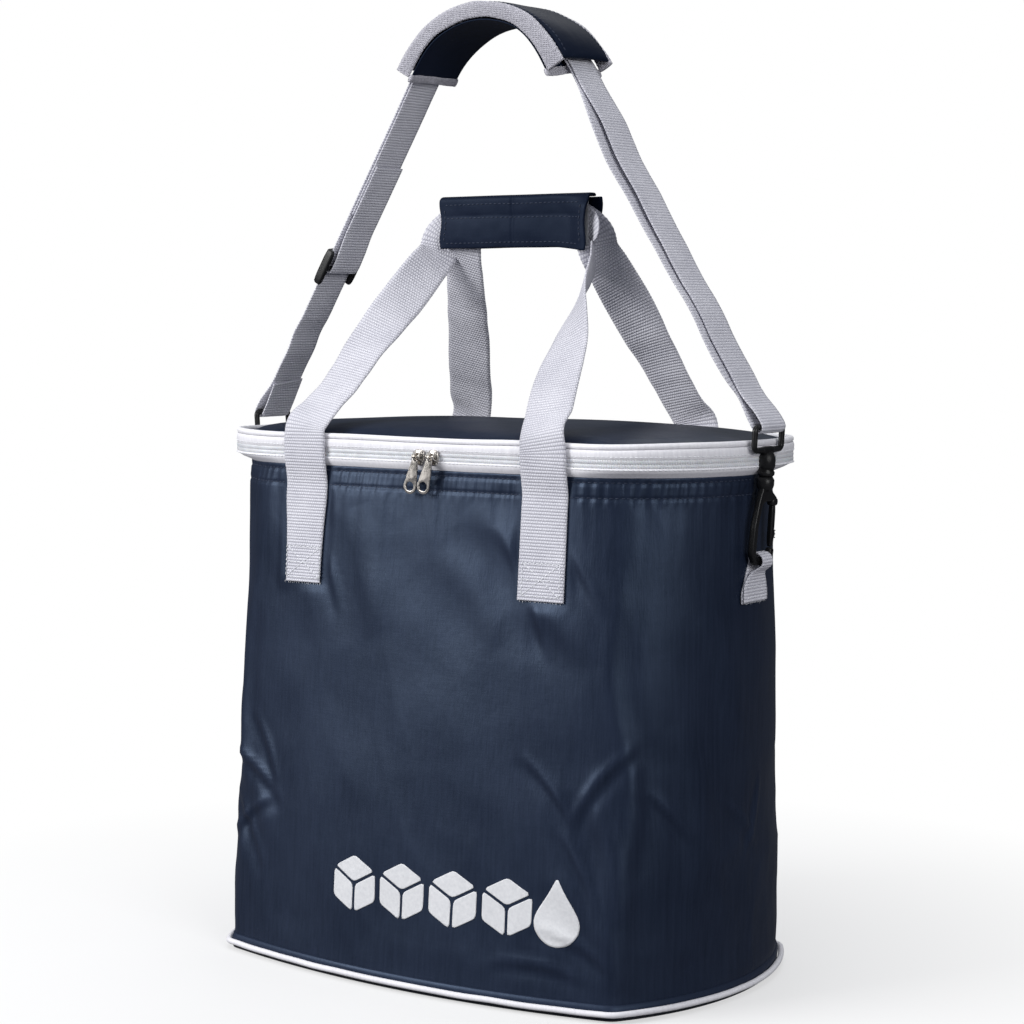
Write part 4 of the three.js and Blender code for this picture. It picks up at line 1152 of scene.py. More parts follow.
def sew_tab(name, x, side):
    """The box and cross of stitches that holds a tab's foot, and a bar below the band."""
    half, low, high = HANDLE_WIDTH / 2 - 3, TAB_LOW + 3.5, TAB_LOW + 25
    corners_of_box = [(-half, low), (half, low), (half, high), (-half, high), (-half, low),
                      (half, high)]
    runs = [corners_of_box, [(half, low), (-half, high)], [(-half, BAR_TACK_Z), (half, BAR_TACK_Z)],
            [(-half, low + 10.5), (half, low + 10.5)]]
    for number, corners_here in enumerate(runs):
        flat = np.concatenate([
            np.linspace(a, b, 24, endpoint=False) for a, b in zip(corners_here, corners_here[1:])
        ])
        stand = [side * (wall_depth(TAB_X - TAB_HALF, z) + TAB_STAND + 0.78) for z in flat[:, 1]]
        line = np.column_stack([x + flat[:, 0], stand, flat[:, 1]])
        sew(f"{name}_{number + 1}", "bag", line, (0, side, 0), THREAD, "webbing", 2.3, 0.9,
            sink=0.02)


FRAY_YARNS = 16
FRAY_LENGTH = 2.6


def fray(name, start, end, down, body, seed):
    """Loose yarn ends along a cut edge of webbing."""
    start, end, down = (np.array(v, float) for v in (start, end, down))
    parts = []
    links = tube_faces(4, 5)
    side = unit(end - start)
    out = np.cross(side, down)
    jitter = along_noise(np.arange(FRAY_YARNS * 3) * 7.7, 3.0, seed)
    turns = round_turns(5)
    for i in range(FRAY_YARNS):
        a, b, c = jitter[3 * i : 3 * i + 3]
        root = start + (end - start) * ((i + 0.5 + 0.6 * a) / FRAY_YARNS) - down * 0.6
        length = FRAY_LENGTH * (0.55 + 0.7 * abs(b))
        rings = []
        for share in (0, 0.4, 0.75, 1.0):
            centre = root + down * length * share + side * c * 1.6 * share**2
            centre = centre + out * 0.5 * b * share
            size = 0.2 * (1 - 0.6 * share)
            round_it = np.outer(np.cos(turns), side) + np.outer(np.sin(turns), out)
            rings.append(centre + size * round_it)
        parts.append((np.concatenate(rings), links))
    settle(merged(name, parts, THREAD), body)


def make_handles():
    make_handle(-1, ["front_tab_left", "front_tab_right", "front_handle"])
    make_handle(1, ["back_tab_left", "back_tab_right", "back_handle"])
    for side, name in ((-1, "front"), (1, "back")):
        y = side * (wall_depth(TAB_X - TAB_HALF, TAB_LOW) + 1.3)
        for end in (-1, 1):
            left, right = end * TAB_X - TAB_HALF + 1, end * TAB_X + TAB_HALF - 1
            fray(f"{name}_tab_fray_{'left' if end < 0 else 'right'}", (left, y, TAB_LOW),
                 (right, y, TAB_LOW), (0, 0, -1), "bag", seed=3 + end + side)


make_handles()


# ---------------------------------------------------------------- grip

GRIP_HALF = GRIP_HIGH[0]
LEAF_OUT = GRIP_LOW[1]  # the front leaf's outer face
TOP_BACK = GRIP_HIGH[1]
FLAP_LOW, FLAP_HIGH = corners("grip_flap")


def grip_path(lift):
    """The cover's outer face from its front foot, over the top, to the back, as (y, z)."""
    low, high, radius = GRIP_LOW[2], GRIP_HIGH[2] + lift, 3.4
    path = [(LEAF_OUT, z) for z in np.linspace(low, high - radius, 26)]
    for turn in np.linspace(0, np.pi / 2, 7)[1:]:
        back, down = radius * (1 - math.cos(turn)), radius * (1 - math.sin(turn))
        path.append((LEAF_OUT + back, high - down))
    path += [(y, high) for y in np.linspace(LEAF_OUT + radius, TOP_BACK - 2, 6)[1:]]
    path += [(TOP_BACK - 0.6, high - 0.6), (TOP_BACK, high - 2)]
    return np.array(path)


def leaf_shape(grid, low, high, face):
    """Padding, fold and flared corners of one leaf of the grip."""
    x, z = grid[..., 0], grid[..., 2]
    share = np.clip((z - low) / (high - low), 0, 1)
    end = np.abs(x) / GRIP_HALF
    quilt = 1.1 * np.abs(np.sin(np.pi * share / 0.62)) ** 0.6 * (1 - end**6)
    fold = -0.7 * np.exp(-((x / 1.6) ** 2))
    ripple = 0.7 * wander(grid, 22, 61) + 0.35 * wander(grid, 9, 62)
    grid[..., 1] += face * (quilt + fold + ripple * 0.8)
    flare = smooth(x / GRIP_HALF, 0.45, 1.0) * (1 - share)
    grid[..., 2] -= 2.6 * flare - 0.5 * wander(grid, 40, 63)
    grid[..., 1] += face * 1.6 * flare
    grid[..., 0] += np.sign(x) * end**4 * (0.8 * np.sin(9 * share))
    if face < 0:
        gape = smooth(x / GRIP_HALF, 0.72, 1.0) * smooth(share, 1.0, 0.75)
        grid[..., 1] += face * 4.2 * gape
    else:
        grid[..., 0] += 4.5 * smooth(x / GRIP_HALF, 0.6, 1.0)
    return grid


def make_cover():
    path = grip_path(0.4)
    columns = np.linspace(-GRIP_HALF, GRIP_HALF, 110)
    grid = np.zeros((len(path), len(columns), 3))
    grid[..., 0] = columns
    grid[..., 1] = path[:, :1]
    grid[..., 2] = path[:, 1:]
    shaped = leaf_shape(grid.copy(), GRIP_LOW[2], GRIP_HIGH[2], -1)
    share = 1 - smooth(grid[..., 1:2], LEAF_OUT + 0.5, LEAF_OUT + 5)
    grid = grid + (shaped - grid) * share
    cover = skin("grip_cover_leaf", grid, 2.0, NAVY_GRIP)
    subdivide(cover)
    settle(cover, "front_handle", "grip_cover")
    sew_leaf("grip_seam", grid[:27], "front_handle", -1)


def sew_leaf(name, grid, body, face):
    """Stitching round a leaf, a little inside its edges, and one line across it."""
    rows, columns = grid.shape[:2]
    r0, r1, c0, c1 = 3, rows - 4, 4, columns - 5
    across = int(rows * 0.62)
    runs = [grid[r0, c0 : c1 + 1], grid[r1, c0 : c1 + 1], grid[across, c0 : c1 + 1],
            grid[r0 : r1 + 1, c0], grid[r0 : r1 + 1, c1]]
    for number, line in enumerate(runs):
        sew(f"{name}_{number + 1}", body, line, (0, face, 0), NAVY_THREAD, "navy_cloth", length=2.4,
            gap=1.5, sink=-0.08)


def panel_grid(low, high, y, rows, columns):
    """A flat upright grid between two corners, at depth y."""
    grid = np.zeros((rows, columns, 3))
    grid[..., 0] = np.linspace(low[0], high[0], columns)
    grid[..., 1] = y
    grid[..., 2] = np.linspace(low[2], high[2], rows)[:, None]
    return grid


def make_grip_insides():
    """The cover's lining, and the hook and loop strips that close the flap."""
    low, high = corners("grip_lining")
    grid = panel_grid(low, high, low[1], 30, 100)
    grid[..., 1] += 0.16 * wander(grid, 9, 71)
    lining = skin("grip_lining_sheet", grid, 0.7, LINING)
    settle(lining, "front_handle", "grip_lining")
    for node, body in (("grip_loop_strip", "front_handle"), ("grip_hook_strip", "grip_flap")):
        low, high = corners(node)
        face = 1 if node == "grip_loop_strip" else -1
        y = high[1] if face > 0 else low[1]
        grid = panel_grid(low, high, y, 26, 260)
        nap = 0.22 * wander(grid, 0.9, 72) - 0.12
        grid[..., 1] += face * nap
        sheet = grid if face < 0 else grid[:, ::-1]
        strip = skin(node.replace("grip", "touch"), sheet, 1.1, TOUCH)
        settle(strip, body, node)


def make_flap():
    rows, columns = 30, 110
    grid = panel_grid(FLAP_LOW, FLAP_HIGH, FLAP_HIGH[1], rows, columns)[:, ::-1]
    grid = leaf_shape(grid.copy(), FLAP_LOW[2], FLAP_HIGH[2], 1)
    top = smooth(grid[..., 2], FLAP_HIGH[2] - 6, FLAP_HIGH[2])
    grid[..., 1] = grid[..., 1] * (1 - top) + FLAP_HIGH[1] * top
    flap = skin("grip_rear_flap", grid, 1.7, NAVY_GRIP)
    subdivide(flap)
    settle(flap, "grip_flap", "grip_flap")
    sew_leaf("flap_seam", grid, "grip_flap", 1)


make_cover()
make_grip_insides()
make_flap()


# ---------------------------------------------------------------- shoulder strap

STRAP_WIDTH = corners("strap_webbing")[1][1] - corners("strap_webbing")[0][1]
PIVOT_X, PIVOT_Z = 208.5, joint_place("strap_swing")[2]
HOOK_TILT = math.radians(3.8)
BAR_RISE = 85.8  # from the hook's pivot to the bar the strap goes round
BAR_WRAP = 3.65
ARC_Z = 585.0  # the middle of the arc over the shoulder
ARC_RADIUS = 77.0
PLY_STEP = 2.2  # from the outer ply to the inner one
ADJUSTER_RISE = 126.0  # up the left leg from its bar
ADJUSTER_FACE = -1.2  # the top of its middle bar, from the outer ply's middle


class Leg:
    """The straight run from a strap bar up to the arc over the shoulder; side is -1 or 1."""

    def __init__(self, side):
        x = PIVOT_X + BAR_RISE * math.sin(HOOK_TILT)
        z = PIVOT_Z + BAR_RISE * math.cos(HOOK_TILT)
        self.side = side
        self.bar = np.array([side * x, 0, z])
        reach = math.hypot(x, z - ARC_Z)
        self.angle = math.atan2(x, z - ARC_Z) - math.acos(ARC_RADIUS / reach)
        self.out = np.array([side * math.sin(self.angle), 0, math.cos(self.angle)])
        top = np.array([0, 0, ARC_Z]) + ARC_RADIUS * self.out
        self.length = float(np.linalg.norm(top - self.bar))
        self.up = (top - self.bar) / self.length

    def at(self, rise, out):
        return self.bar + self.up * rise + self.out * out

    def free(self, rise, low, high):
        """1 where the strap hangs free, 0 near its two ends and along the adjuster's travel."""
        share = smooth(rise, *low) * smooth(self.length - rise, *high)
        if self.side < 0:
            share = share * smooth(abs(rise - ADJUSTER_RISE - 38), 84, 100)
        return share

    def ply(self, kind, rise):
        """The middle of a ply: both bow off the straight line, the inner one hangs looser."""
        spread = 1 - smooth(rise, 4, 28)
        settled, at_bar = (0, BAR_WRAP) if kind == "outer" else (-PLY_STEP, -BAR_WRAP)
        bow = 3.6 * self.free(rise, (30, 60), (12, 40)) * along_noise(rise * self.side, 40, 81)
        out, aside = settled + (at_bar - settled) * spread + bow, 0
        if kind == "inner":
            loose = self.free(rise, (22, 50), (15, 50))
            aside = loose * (-6.5 + 2 * along_noise(rise, 50, 83))
            out = out - 1.3 * loose * (1 + math.cos(rise / 37 + self.side))
        return self.at(rise, out) + (0, float(aside), 0)

    def round_bar(self, start):
        """The half turn round the strap bar, from the ply it starts on."""
        turns = np.linspace(0, np.pi, 9)[1:-1]
        sign = -1 if start == "inner" else 1
        return [self.at(-BAR_WRAP * math.sin(t), BAR_WRAP * sign * math.cos(t)) for t in turns]


LEFT, RIGHT = Leg(-1), Leg(1)


def over_shoulder(radius, start, end):
    """Points of the arc over the shoulder, between two angles from straight up."""
    turns = np.linspace(start, end, 15)
    return [np.array([radius * math.sin(t), 0, ARC_Z + radius * math.cos(t)]) for t in turns]


def flat_stations(points):
    """Stations of a run of webbing in the plane of the strap, with its width along Y."""
    points = np.array(points)
    along = unit(np.gradient(points, axis=0))
    faces = np.column_stack([along[:, 2], 0 * along[:, 1], -along[:, 0]])
    return [(point, face, STRAP_WIDTH) for point, face in zip(points, faces)]


def rises(leg, low=0.0):
    """Heights up a leg at which its webbing gets a station."""
    steps = [0, 5, 10, 16, 22, 28, 40]
    steps += list(np.arange(55, leg.length - 12, 14))
    return [r for r in steps if r >= low]


def make_strap():
    points = [LEFT.ply("inner", r) for r in (28, 22, 16, 10, 5, 0)]
    points += LEFT.round_bar("inner")
    points += [LEFT.ply("outer", r) for r in rises(LEFT)]
    points += over_shoulder(ARC_RADIUS, -LEFT.angle, RIGHT.angle)
    points += [RIGHT.ply("outer", r) for r in reversed(rises(RIGHT))]
    points += RIGHT.round_bar("outer")
    points += [RIGHT.ply("inner", r) for r in rises(RIGHT)]
    points += over_shoulder(ARC_RADIUS - PLY_STEP, RIGHT.angle, -LEFT.angle)
    end = ADJUSTER_RISE + 45
    points += [LEFT.ply("inner", r) for r in reversed(rises(LEFT, end + 6))]
    points.append(LEFT.ply("inner", end))
    strap = webbing("shoulder_webbing", flat_stations(points), WEBBING, thick=1.3,
                    step=0.75)
    settle(strap, "shoulder_strap", "strap_webbing")
    y = np.linspace(-STRAP_WIDTH / 2 + 2, STRAP_WIDTH / 2 - 2, 20)
    for rise in (20, 25):
        line = LEFT.at(rise, 2.2) + np.outer(y, [0, 1, 0])
        sew(f"strap_bar_seam_{rise}", "shoulder_strap", line, LEFT.out, THREAD, "webbing", 2.1, 0.8)


def make_tail():
    """The strap's sewn end, round the adjuster's middle bar and back under the strap."""
    depth = -2 * PLY_STEP
    wrap = 1.5 * math.sqrt(2) + 1.1
    bar_out = ADJUSTER_FACE - 1.5
    points = [LEFT.at(ADJUSTER_RISE + r, depth) for r in (85, 72, 58, 44, 30)]
    points.append(LEFT.at(ADJUSTER_RISE + 12, bar_out - wrap))
    points += [
        LEFT.at(ADJUSTER_RISE - wrap * math.sin(t), bar_out - wrap * math.cos(t))
        for t in np.linspace(0, np.pi / 2, 5)
    ]
    tail = webbing("strap_tail_webbing", flat_stations(points), WEBBING, thick=1.3)
    settle(tail, "adjuster", "strap_tail")


SIDE_TAB_LOW = corners("side_tab_right")[0][2]
SIDE_TAB_PLIES = [wall_outline(SIDE_TAB_LOW)[0] + out for out in (1.3, 3.05)]


def side_tab_stations(sign):
    eye_width, radius, eye_z = 12.6, 5.5, PIVOT_Z - 3
    foot = SIDE_TAB_LOW
    inner, outer = SIDE_TAB_PLIES

    def flat(x, z, out, width=STRAP_WIDTH):
        return ((sign * x, 0, z), (sign * out, 0, 0), width)

    rows = [flat(inner, foot, 1), flat(inner, foot + 7, 1), flat(inner + 0.3, foot + 14, 1, 25)]
    for turn in np.linspace(np.pi, -0.1 * np.pi, 11):
        out = np.array([sign * math.cos(turn), 0, math.sin(turn)])
        at = np.array([sign * PIVOT_X, 0, eye_z]) + out * radius
        rows.append((at, -out, eye_width))
    rows += [flat(outer + 1.6, foot + 20, -1, 19), flat(outer, foot + 14, -1, 27),
             flat(outer, foot + 7, -1), flat(outer, foot + 1, -1)]
    return rows


def make_side_tabs():
    foot = SIDE_TAB_LOW
    for side, sign in (("left", -1), ("right", 1)):
        tab = webbing(f"side_tab_webbing_{side}", side_tab_stations(sign), WEBBING,
                      thick=1.3)
        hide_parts(f"side_tab_{side}")
        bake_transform(tab)
        x = sign * (SIDE_TAB_PLIES[1] + 0.75)
        for number, z in enumerate((foot + 4, foot + 11)):
            y = np.linspace(-12.5, 12.5, 20)
            line = np.column_stack([np.full(20, x), y, np.full(20, z)])
            sew(f"side_tab_seam_{side}_{number + 1}", "bag", line, (sign, 0, 0), THREAD, "webbing",
                length=2.1, gap=0.8)
        edge = x - sign * 0.8
        fray(f"side_tab_fray_{side}", (edge, -14, foot + 1), (edge, 14, foot + 1), (0, 0, -1),
             "bag", seed=9 + sign)


make_strap()
make_tail()
make_side_tabs()


# ---------------------------------------------------------------- moulded and metal parts


def block(centre, half, power, turns=(20, 28)):
    """Points and faces of a rounded block: a superellipsoid, closed at both poles."""
    rows, columns = turns
    latitude = (np.pi * (np.arange(rows) + 0.5) / rows - np.pi / 2)[:, None]
    longitude = round_turns(columns)
    direction = np.stack([np.cos(latitude) * np.cos(longitude),
                          np.cos(latitude) * np.sin(longitude),
                          np.sin(latitude) + 0 * longitude], -1).reshape(-1, 3)
    size = (np.abs(direction) ** power).sum(1, keepdims=True) ** (1 / power)
    return direction / size * half + centre, tube_faces(rows, columns)


LATHE_SIDES = 28


def lathe(profile):
    """A closed turned form about Z through (radius, height) pairs."""
    turns = round_turns(LATHE_SIDES)
    circle = np.column_stack([np.cos(turns), np.sin(turns), 0 * turns])
    points = np.concatenate([circle * (r, r, 1) + (0, 0, z) for r, z in profile])
    return points, tube_faces(len(profile), LATHE_SIDES)


def rod(path, radius, sides=14, closed=False, squash=1.0):
    """Points and faces of a round bar along a path."""
    path = np.asarray(path, float)
    if closed:
        along = unit(np.roll(path, -1, 0) - np.roll(path, 1, 0))
    else:
        along = unit(np.gradient(path, axis=0))
    normal = np.cross(along[0], [0, 1, 0.02])
    if np.linalg.norm(normal) < 0.1:
        normal = np.cross(along[0], [1, 0, 0])
    rings = []
    turns = round_turns(sides)
    for at, ahead in zip(path, along):
        normal = unit(normal - ahead * (normal @ ahead))
        aside = np.cross(ahead, normal)
        ring = np.outer(np.cos(turns), normal) + squash * np.outer(np.sin(turns), aside)
        rings.append(at + radius * ring)
    return np.concatenate(rings), tube_faces(len(path), sides, closed)


def round_loop(half_x, half_z, radius):
    """A closed rounded rectangle in the XZ plane."""
    path = []
    for i, (sx, sz) in enumerate([(1, 1), (-1, 1), (-1, -1), (1, -1)]):
        for turn in np.linspace(i * np.pi / 2, (i + 1) * np.pi / 2, 12):
            path.append((sx * (half_x - radius) + radius * math.cos(turn), 0,
                         sz * (half_z - radius) + radius * math.sin(turn)))
    return np.array(path)


def plate(loops, thick, bevel):
    """Points and faces of a flat plate with holes, bevelled, lying in the XY plane."""
    curve = bpy.data.curves.new("plate", "CURVE")
    curve.dimensions = "2D"
    curve.fill_mode = "BOTH"
    curve.extrude = thick / 2 - bevel
    curve.bevel_depth = bevel
    curve.bevel_resolution = 2
    curve.offset = -bevel
    for loop in loops:
        spline = curve.splines.new("POLY")
        spline.points.add(len(loop) - 1)
        for point, (x, y) in zip(spline.points, loop):
            point.co = (x, y, 0, 1)
        spline.use_cyclic_u = True
    maker = bpy.data.objects.new("plate", curve)
    bpy.context.scene.collection.objects.link(maker)
    bpy.context.view_layer.update()
    graph = bpy.context.evaluated_depsgraph_get()
    mesh = bpy.data.meshes.new_from_object(maker.evaluated_get(graph))
    shape = bmesh.new()
    shape.from_mesh(mesh)
    bmesh.ops.remove_doubles(shape, verts=shape.verts, dist=1e-4)
    bmesh.ops.recalc_face_normals(shape, faces=shape.faces)
    shape.verts.index_update()
    points = np.array([v.co for v in shape.verts])
    faces = [tuple(v.index for v in f.verts) for f in shape.faces]
    shape.free()
    bpy.data.objects.remove(maker)
    bpy.data.curves.remove(curve)
    bpy.data.meshes.remove(mesh)
    return points, faces


def rounded(corner_points, radius, steps):
    """A closed outline with each corner rounded by up to radius."""
    line = np.asarray(corner_points, float)
    out = []
    for i, corner in enumerate(line):
        before, after = line[i - 1], line[(i + 1) % len(line)]
        a, b = before - corner, after - corner
        reach = min(radius, 0.45 * np.hypot(*a), 0.45 * np.hypot(*b))
        start = corner + a / np.hypot(*a) * reach
        end = corner + b / np.hypot(*b) * reach
        for t in np.linspace(0, 1, steps):
            out.append(start * (1 - t) ** 2 + corner * 2 * t * (1 - t) + end * t * t)
    return np.array(out)


def placed(part, axes, origin):
    """Moves a part so that its X, Y and Z lie along the given axes from the origin."""
    points, faces = part
    return np.asarray(points) @ np.array(axes, float) + np.asarray(origin, float), faces


PULL_LEAN = {"left": math.radians(14), "right": math.radians(16)}


def metal(name, parts, node):
    settle(merged(name, parts, NICKEL), node, node)


def moulded(name, parts, axes, origin, body, node):
    parts = [placed(part, axes, origin) for part in parts]
    settle(merged(name, parts, PLASTIC), body, node)


def make_slider(side):
    low, high = corners(f"slider_{side}")
    x, z = (low[0] + high[0]) / 2, ZIP_Z
    face = high[1]  # the side against the coil
    pin_y = (corners(f"pull_{side}")[0][1] + corners(f"pull_{side}")[1][1]) / 2
    parts = [
        block((x, face - 1.1, z), (4.2, 1.25, 5.0), 3.2, (22, 30)),
        block((x, face - 2.0, z + 1.6), (3.3, 1.0, 2.6), 2.6, (16, 22)),
        block((x, face - 1.3, z - 4.3), (3.2, 1.0, 1.5), 3.0, (14, 20)),
    ]
    # the bridge that holds the pull: an arch of metal standing on the plate
    reach = face - 2.0 - pin_y + 1.25
    for lug in (-1, 1):
        arch = [(1.6, 3.4), (reach * 0.7, 2.9), (reach + 1.0, 1.2), (reach + 1.2, 0),
                (reach + 0.7, -1.3), (reach * 0.6, -2.2), (1.6, -2.6)]
        path = [(x + lug * 2.6, face - out, z + rise) for out, rise in arch]
        path = flow(np.arange(len(path)), path, np.linspace(0, len(path) - 1, 30))
        parts.append(rod(path, 0.62, 10))
    parts.append(rod([(x - 3.1, pin_y, z), (x, pin_y, z), (x + 3.1, pin_y, z)], 0.85, 14))
    metal(f"zip_slider_{side}", parts, f"slider_{side}")


def make_pull(side):
    low, high = corners(f"pull_{side}")
    x, y = (low[0] + high[0]) / 2, (low[1] + high[1]) / 2
    lean = PULL_LEAN[side]
    foot = low[2] - ZIP_Z + 4.2
    sides = [(-2.3, -1.4), (-2.8, -5.0), (-3.9, -11), (-4.9, foot + 2)]
    arc = [(5.3 * math.cos(t), foot + 5.3 * math.sin(t)) for t in np.linspace(np.pi, TAU, 22)]
    outline = sides + arc + [(-a, b) for a, b in reversed(sides)]
    hole = [(3.15 * math.cos(t), foot + 3.15 * math.sin(t)) for t in round_turns(32)]
    body = plate([rounded(outline, 0.6, 3), hole], 1.3, 0.35)
    axes = [(math.cos(lean), 0, -math.sin(lean)), (math.sin(lean), 0, math.cos(lean)), (0, -1, 0)]
    parts = [placed(body, axes, (x, y, ZIP_Z))]
    eye = [(0, 1.85 * math.cos(t), 1.85 * math.sin(t)) for t in round_turns(24)]
    parts.append(placed(rod(eye, 0.62, 10, closed=True, squash=2.2), np.eye(3), (x, y, ZIP_Z)))
    metal(f"zip_pull_{side}", parts, f"pull_{side}")


for END in ("left", "right"):
    make_slider(END)
    make_pull(END)


def make_hook(side):
    sign = -1 if side == "left" else 1
    sine, cosine = math.sin(HOOK_TILT), math.cos(HOOK_TILT)
    axes = [(sign * cosine, 0, -sine), (0, 1, 0), (sign * sine, 0, cosine)]
    origin = (sign * PIVOT_X, 0, PIVOT_Z)
    loop = round_loop(17.7, 7.6, 3.2)[:, [1, 0, 2]] + (0, 0, 78.2)
    eye = [
        rod(loop, 2.0, closed=True),
        block((0, 0, 70.4), (2.5, 8.0, 2.6), 3.5),
        lathe([(2.9, 52.6), (4.6, 53.2), (5.6, 54.2), (5.8, 56.0), (5.1, 57.0), (5.1, 58.4),
               (5.8, 59.4), (5.8, 65.4), (5.0, 67.6), (3.2, 69.6)]),
    ]
    moulded(f"strap_loop_{side}", eye, axes, origin, "shoulder_strap", f"hook_eye_{side}")
    outline = [(-4.4, 52.6), (-5.0, 45), (-8.6, 37.5), (-13.2, 20), (-14.2, 3), (-9, -5.6),
               (8.5, -5.6), (14, 0), (14, 5), (9.2, 5), (8.6, 1), (6, -0.4), (-6.4, -0.4),
               (-9.0, 4.0), (-8.2, 19), (-4.4, 34.4), (0, 36.4), (14, 35.4), (14, 38.4),
               (5.2, 44.6), (4.4, 52.6)]
    flat = plate([rounded(outline, 2.6, 5)], 4.6, 1.3)
    body = [placed(flat, [(0, 1, 0), (0, 0, 1), (1, 0, 0)], (0, 0, 0)),
            lathe([(3.2, 43.5), (5.2, 45.0), (5.9, 47.5), (5.9, 51.0), (4.6, 52.8)]),
            block((0, 11.2, 35.6), (3.1, 3.6, 2.9), 3.0, (14, 20))]
    moulded(f"snap_hook_{side}", body, axes, origin, f"hook_{side}", f"hook_{side}")
    gate = [block((0, 11.5, 20.0), (1.9, 2.1, 14.4), 5.0, (26, 20)),
            block((0, 13.2, 14.0), (2.1, 1.3, 3.4), 2.6, (12, 18))]
    for ridge in (11.6, 14.0, 16.4):
        gate.append(rod([(-1.9, 14.3, ridge), (0, 14.6, ridge), (1.9, 14.3, ridge)], 0.35, 8))
    moulded(f"snap_gate_{side}", gate, axes, origin, f"gate_{side}", f"gate_{side}")


def make_adjuster():
    width, length, thick = 38.0, 28.0, 7.0
    middle = ADJUSTER_FACE - 3 + thick / 2
    axes = [LEFT.up, np.cross(LEFT.out, LEFT.up), LEFT.out]
    origin = LEFT.at(ADJUSTER_RISE, middle)
    parts = [block((0, s * (width / 2 - 1.7), 0), (length / 2, 1.75, thick / 2), 4.5, (20, 26))
             for s in (-1, 1)]
    parts += [block((s * (length / 2 - 2), 0, thick / 2 - 0.85), (2.1, width / 2 - 0.6, 0.95), 4.0)
              for s in (-1, 1)]
    parts.append(rod([(0, y, -thick / 2 + 1.5) for y in np.linspace(-18, 18, 9)], 1.5, 14))
    moulded("strap_adjuster", parts, axes, origin, "adjuster", "adjuster")


for END in ("left", "right"):
    make_hook(END)
make_adjuster()


# ---------------------------------------------------------------- shoulder pad

PAD_HALF_ANGLE = math.radians(60)
PAD_EDGE = 27.2  # half the pad's width
PAD_TOP, PAD_MIDDLE, PAD_UNDER = 83.4, 78.2, 72.2  # radii from the middle of the strap's arc


def pad_point(radius, turn, y):
    """A place on the pad: its front edge droops at the right, and the whole arch is uneven."""
    droop = smooth(turn, 0.35, 1.05) * smooth(-y, 6, 30)
    sag = 0.4 * smooth(-turn, 0.5, 1.05) * smooth(-y, 0, 30)
    inside = 1 - smooth(radius, PAD_UNDER, PAD_TOP)
    uneven = wander(np.array([[turn * 80, y, 0.0]]), 34, 95)[0]
    uneven = 1.3 * (uneven + 0.35) * (1 - inside) + 0.6 * (uneven - 0.8) * inside
    radius = radius + uneven - (6.5 * droop + 5.0 * sag) * (0.35 + 0.65 * inside)
    return (radius * math.sin(turn), y, ARC_Z + radius * math.cos(turn))


def make_pad():
    """The padded sleeve round the strap: navy cushion on top, navy sheet under it."""
    turns = np.linspace(-PAD_HALF_ANGLE, PAD_HALF_ANGLE, 60)
    rings = []
    for turn in turns:
        swell = smooth(1 - abs(turn) / PAD_HALF_ANGLE, 0, 0.12)
        ring = []
        for a in round_turns(28):
            y = PAD_EDGE * np.sign(math.cos(a)) * abs(math.cos(a)) ** 0.6
            lift = (1.9 + 0.7 * swell) * np.sign(math.sin(a)) * abs(math.sin(a)) ** 0.7
            ring.append(pad_point(PAD_TOP - 2.4 + lift, turn, y))
        rings.append(ring)
    cushion = tube("pad_cushion", rings, NAVY_GRIP)
    puff(cushion, 2.6, 3.0, 1.6)
    settle(cushion, "shoulder_pad", "pad_cover", "pad_foam")
    make_pad_sheet()
    make_pad_bindings()
    for number, y in enumerate((-PAD_EDGE + 4.2, PAD_EDGE - 4.2)):
        line = np.array([pad_point(PAD_TOP + 3, t, y) for t in turns[2:-2]])
        down = unit(((0, 0, ARC_Z) - line) * (1, 0, 1))
        line = on_surface(line, cushion, down, 8)
        sew(f"pad_seam_{number + 1}", "shoulder_pad", line, -down, NAVY_THREAD, "navy_cloth",
            length=2.4, gap=1.3, sink=0.05)


def make_pad_sheet():
    turns = np.linspace(-PAD_HALF_ANGLE, PAD_HALF_ANGLE, 90)
    across = np.linspace(-PAD_EDGE, PAD_EDGE, 40)
    grid = np.array([[pad_point(PAD_UNDER, t, y) for y in across] for t in turns])
    sheet = skin("pad_sheet", grid, -1.0, NAVY_GRIP)
    settle(sheet, "shoulder_pad", "pad_lining")


def edging(path, out_half, over_half):
    """A flattened tube of puckered edging along a path of (radius, turn, y, slant) places."""
    rings = []
    for k, (radius, turn, y, slant) in enumerate(path):
        uneven = wander(np.array([[k * 0.9, y, 0]]), 17, 97)[0]
        pucker = 1 + 0.025 * math.sin(k * 1.7) + 0.16 * uneven
        ring = []
        for a in round_turns(18):
            rise = out_half * pucker * np.sign(math.sin(a)) * abs(math.sin(a)) ** 0.8
            over = over_half * pucker * math.cos(a)
            ring.append(pad_point(radius + rise, turn + over * slant[0] / 78, y + over * slant[1]))
        rings.append(ring)
    return np.concatenate(rings), tube_faces(len(rings), 18)


def make_pad_bindings():
    """Light mesh edging along both long edges, turned in round the ends of the lower sheet."""
    for side, sign in (("front", -1), ("back", 1)):
        long_edge = [(PAD_MIDDLE, turn, sign * (PAD_EDGE + 0.9), (0, 1))
                     for turn in np.linspace(-PAD_HALF_ANGLE, PAD_HALF_ANGLE, 190)]
        parts = [edging(long_edge, 5.2, 1.9)]
        for end in (-1, 1):
            short = [(PAD_UNDER - 0.5, end * (PAD_HALF_ANGLE + 0.002), y, (1, 0))
                     for y in np.linspace(sign * (PAD_EDGE + 1.2), 0, 26)]
            parts.append(edging(short, 1.3, 3.4))
        binding = merged(f"pad_edge_{side}", parts, MESH_EDGE)
        settle(binding, "shoulder_pad", f"pad_binding_{side}")


make_pad()


# ---------------------------------------------------------------- print

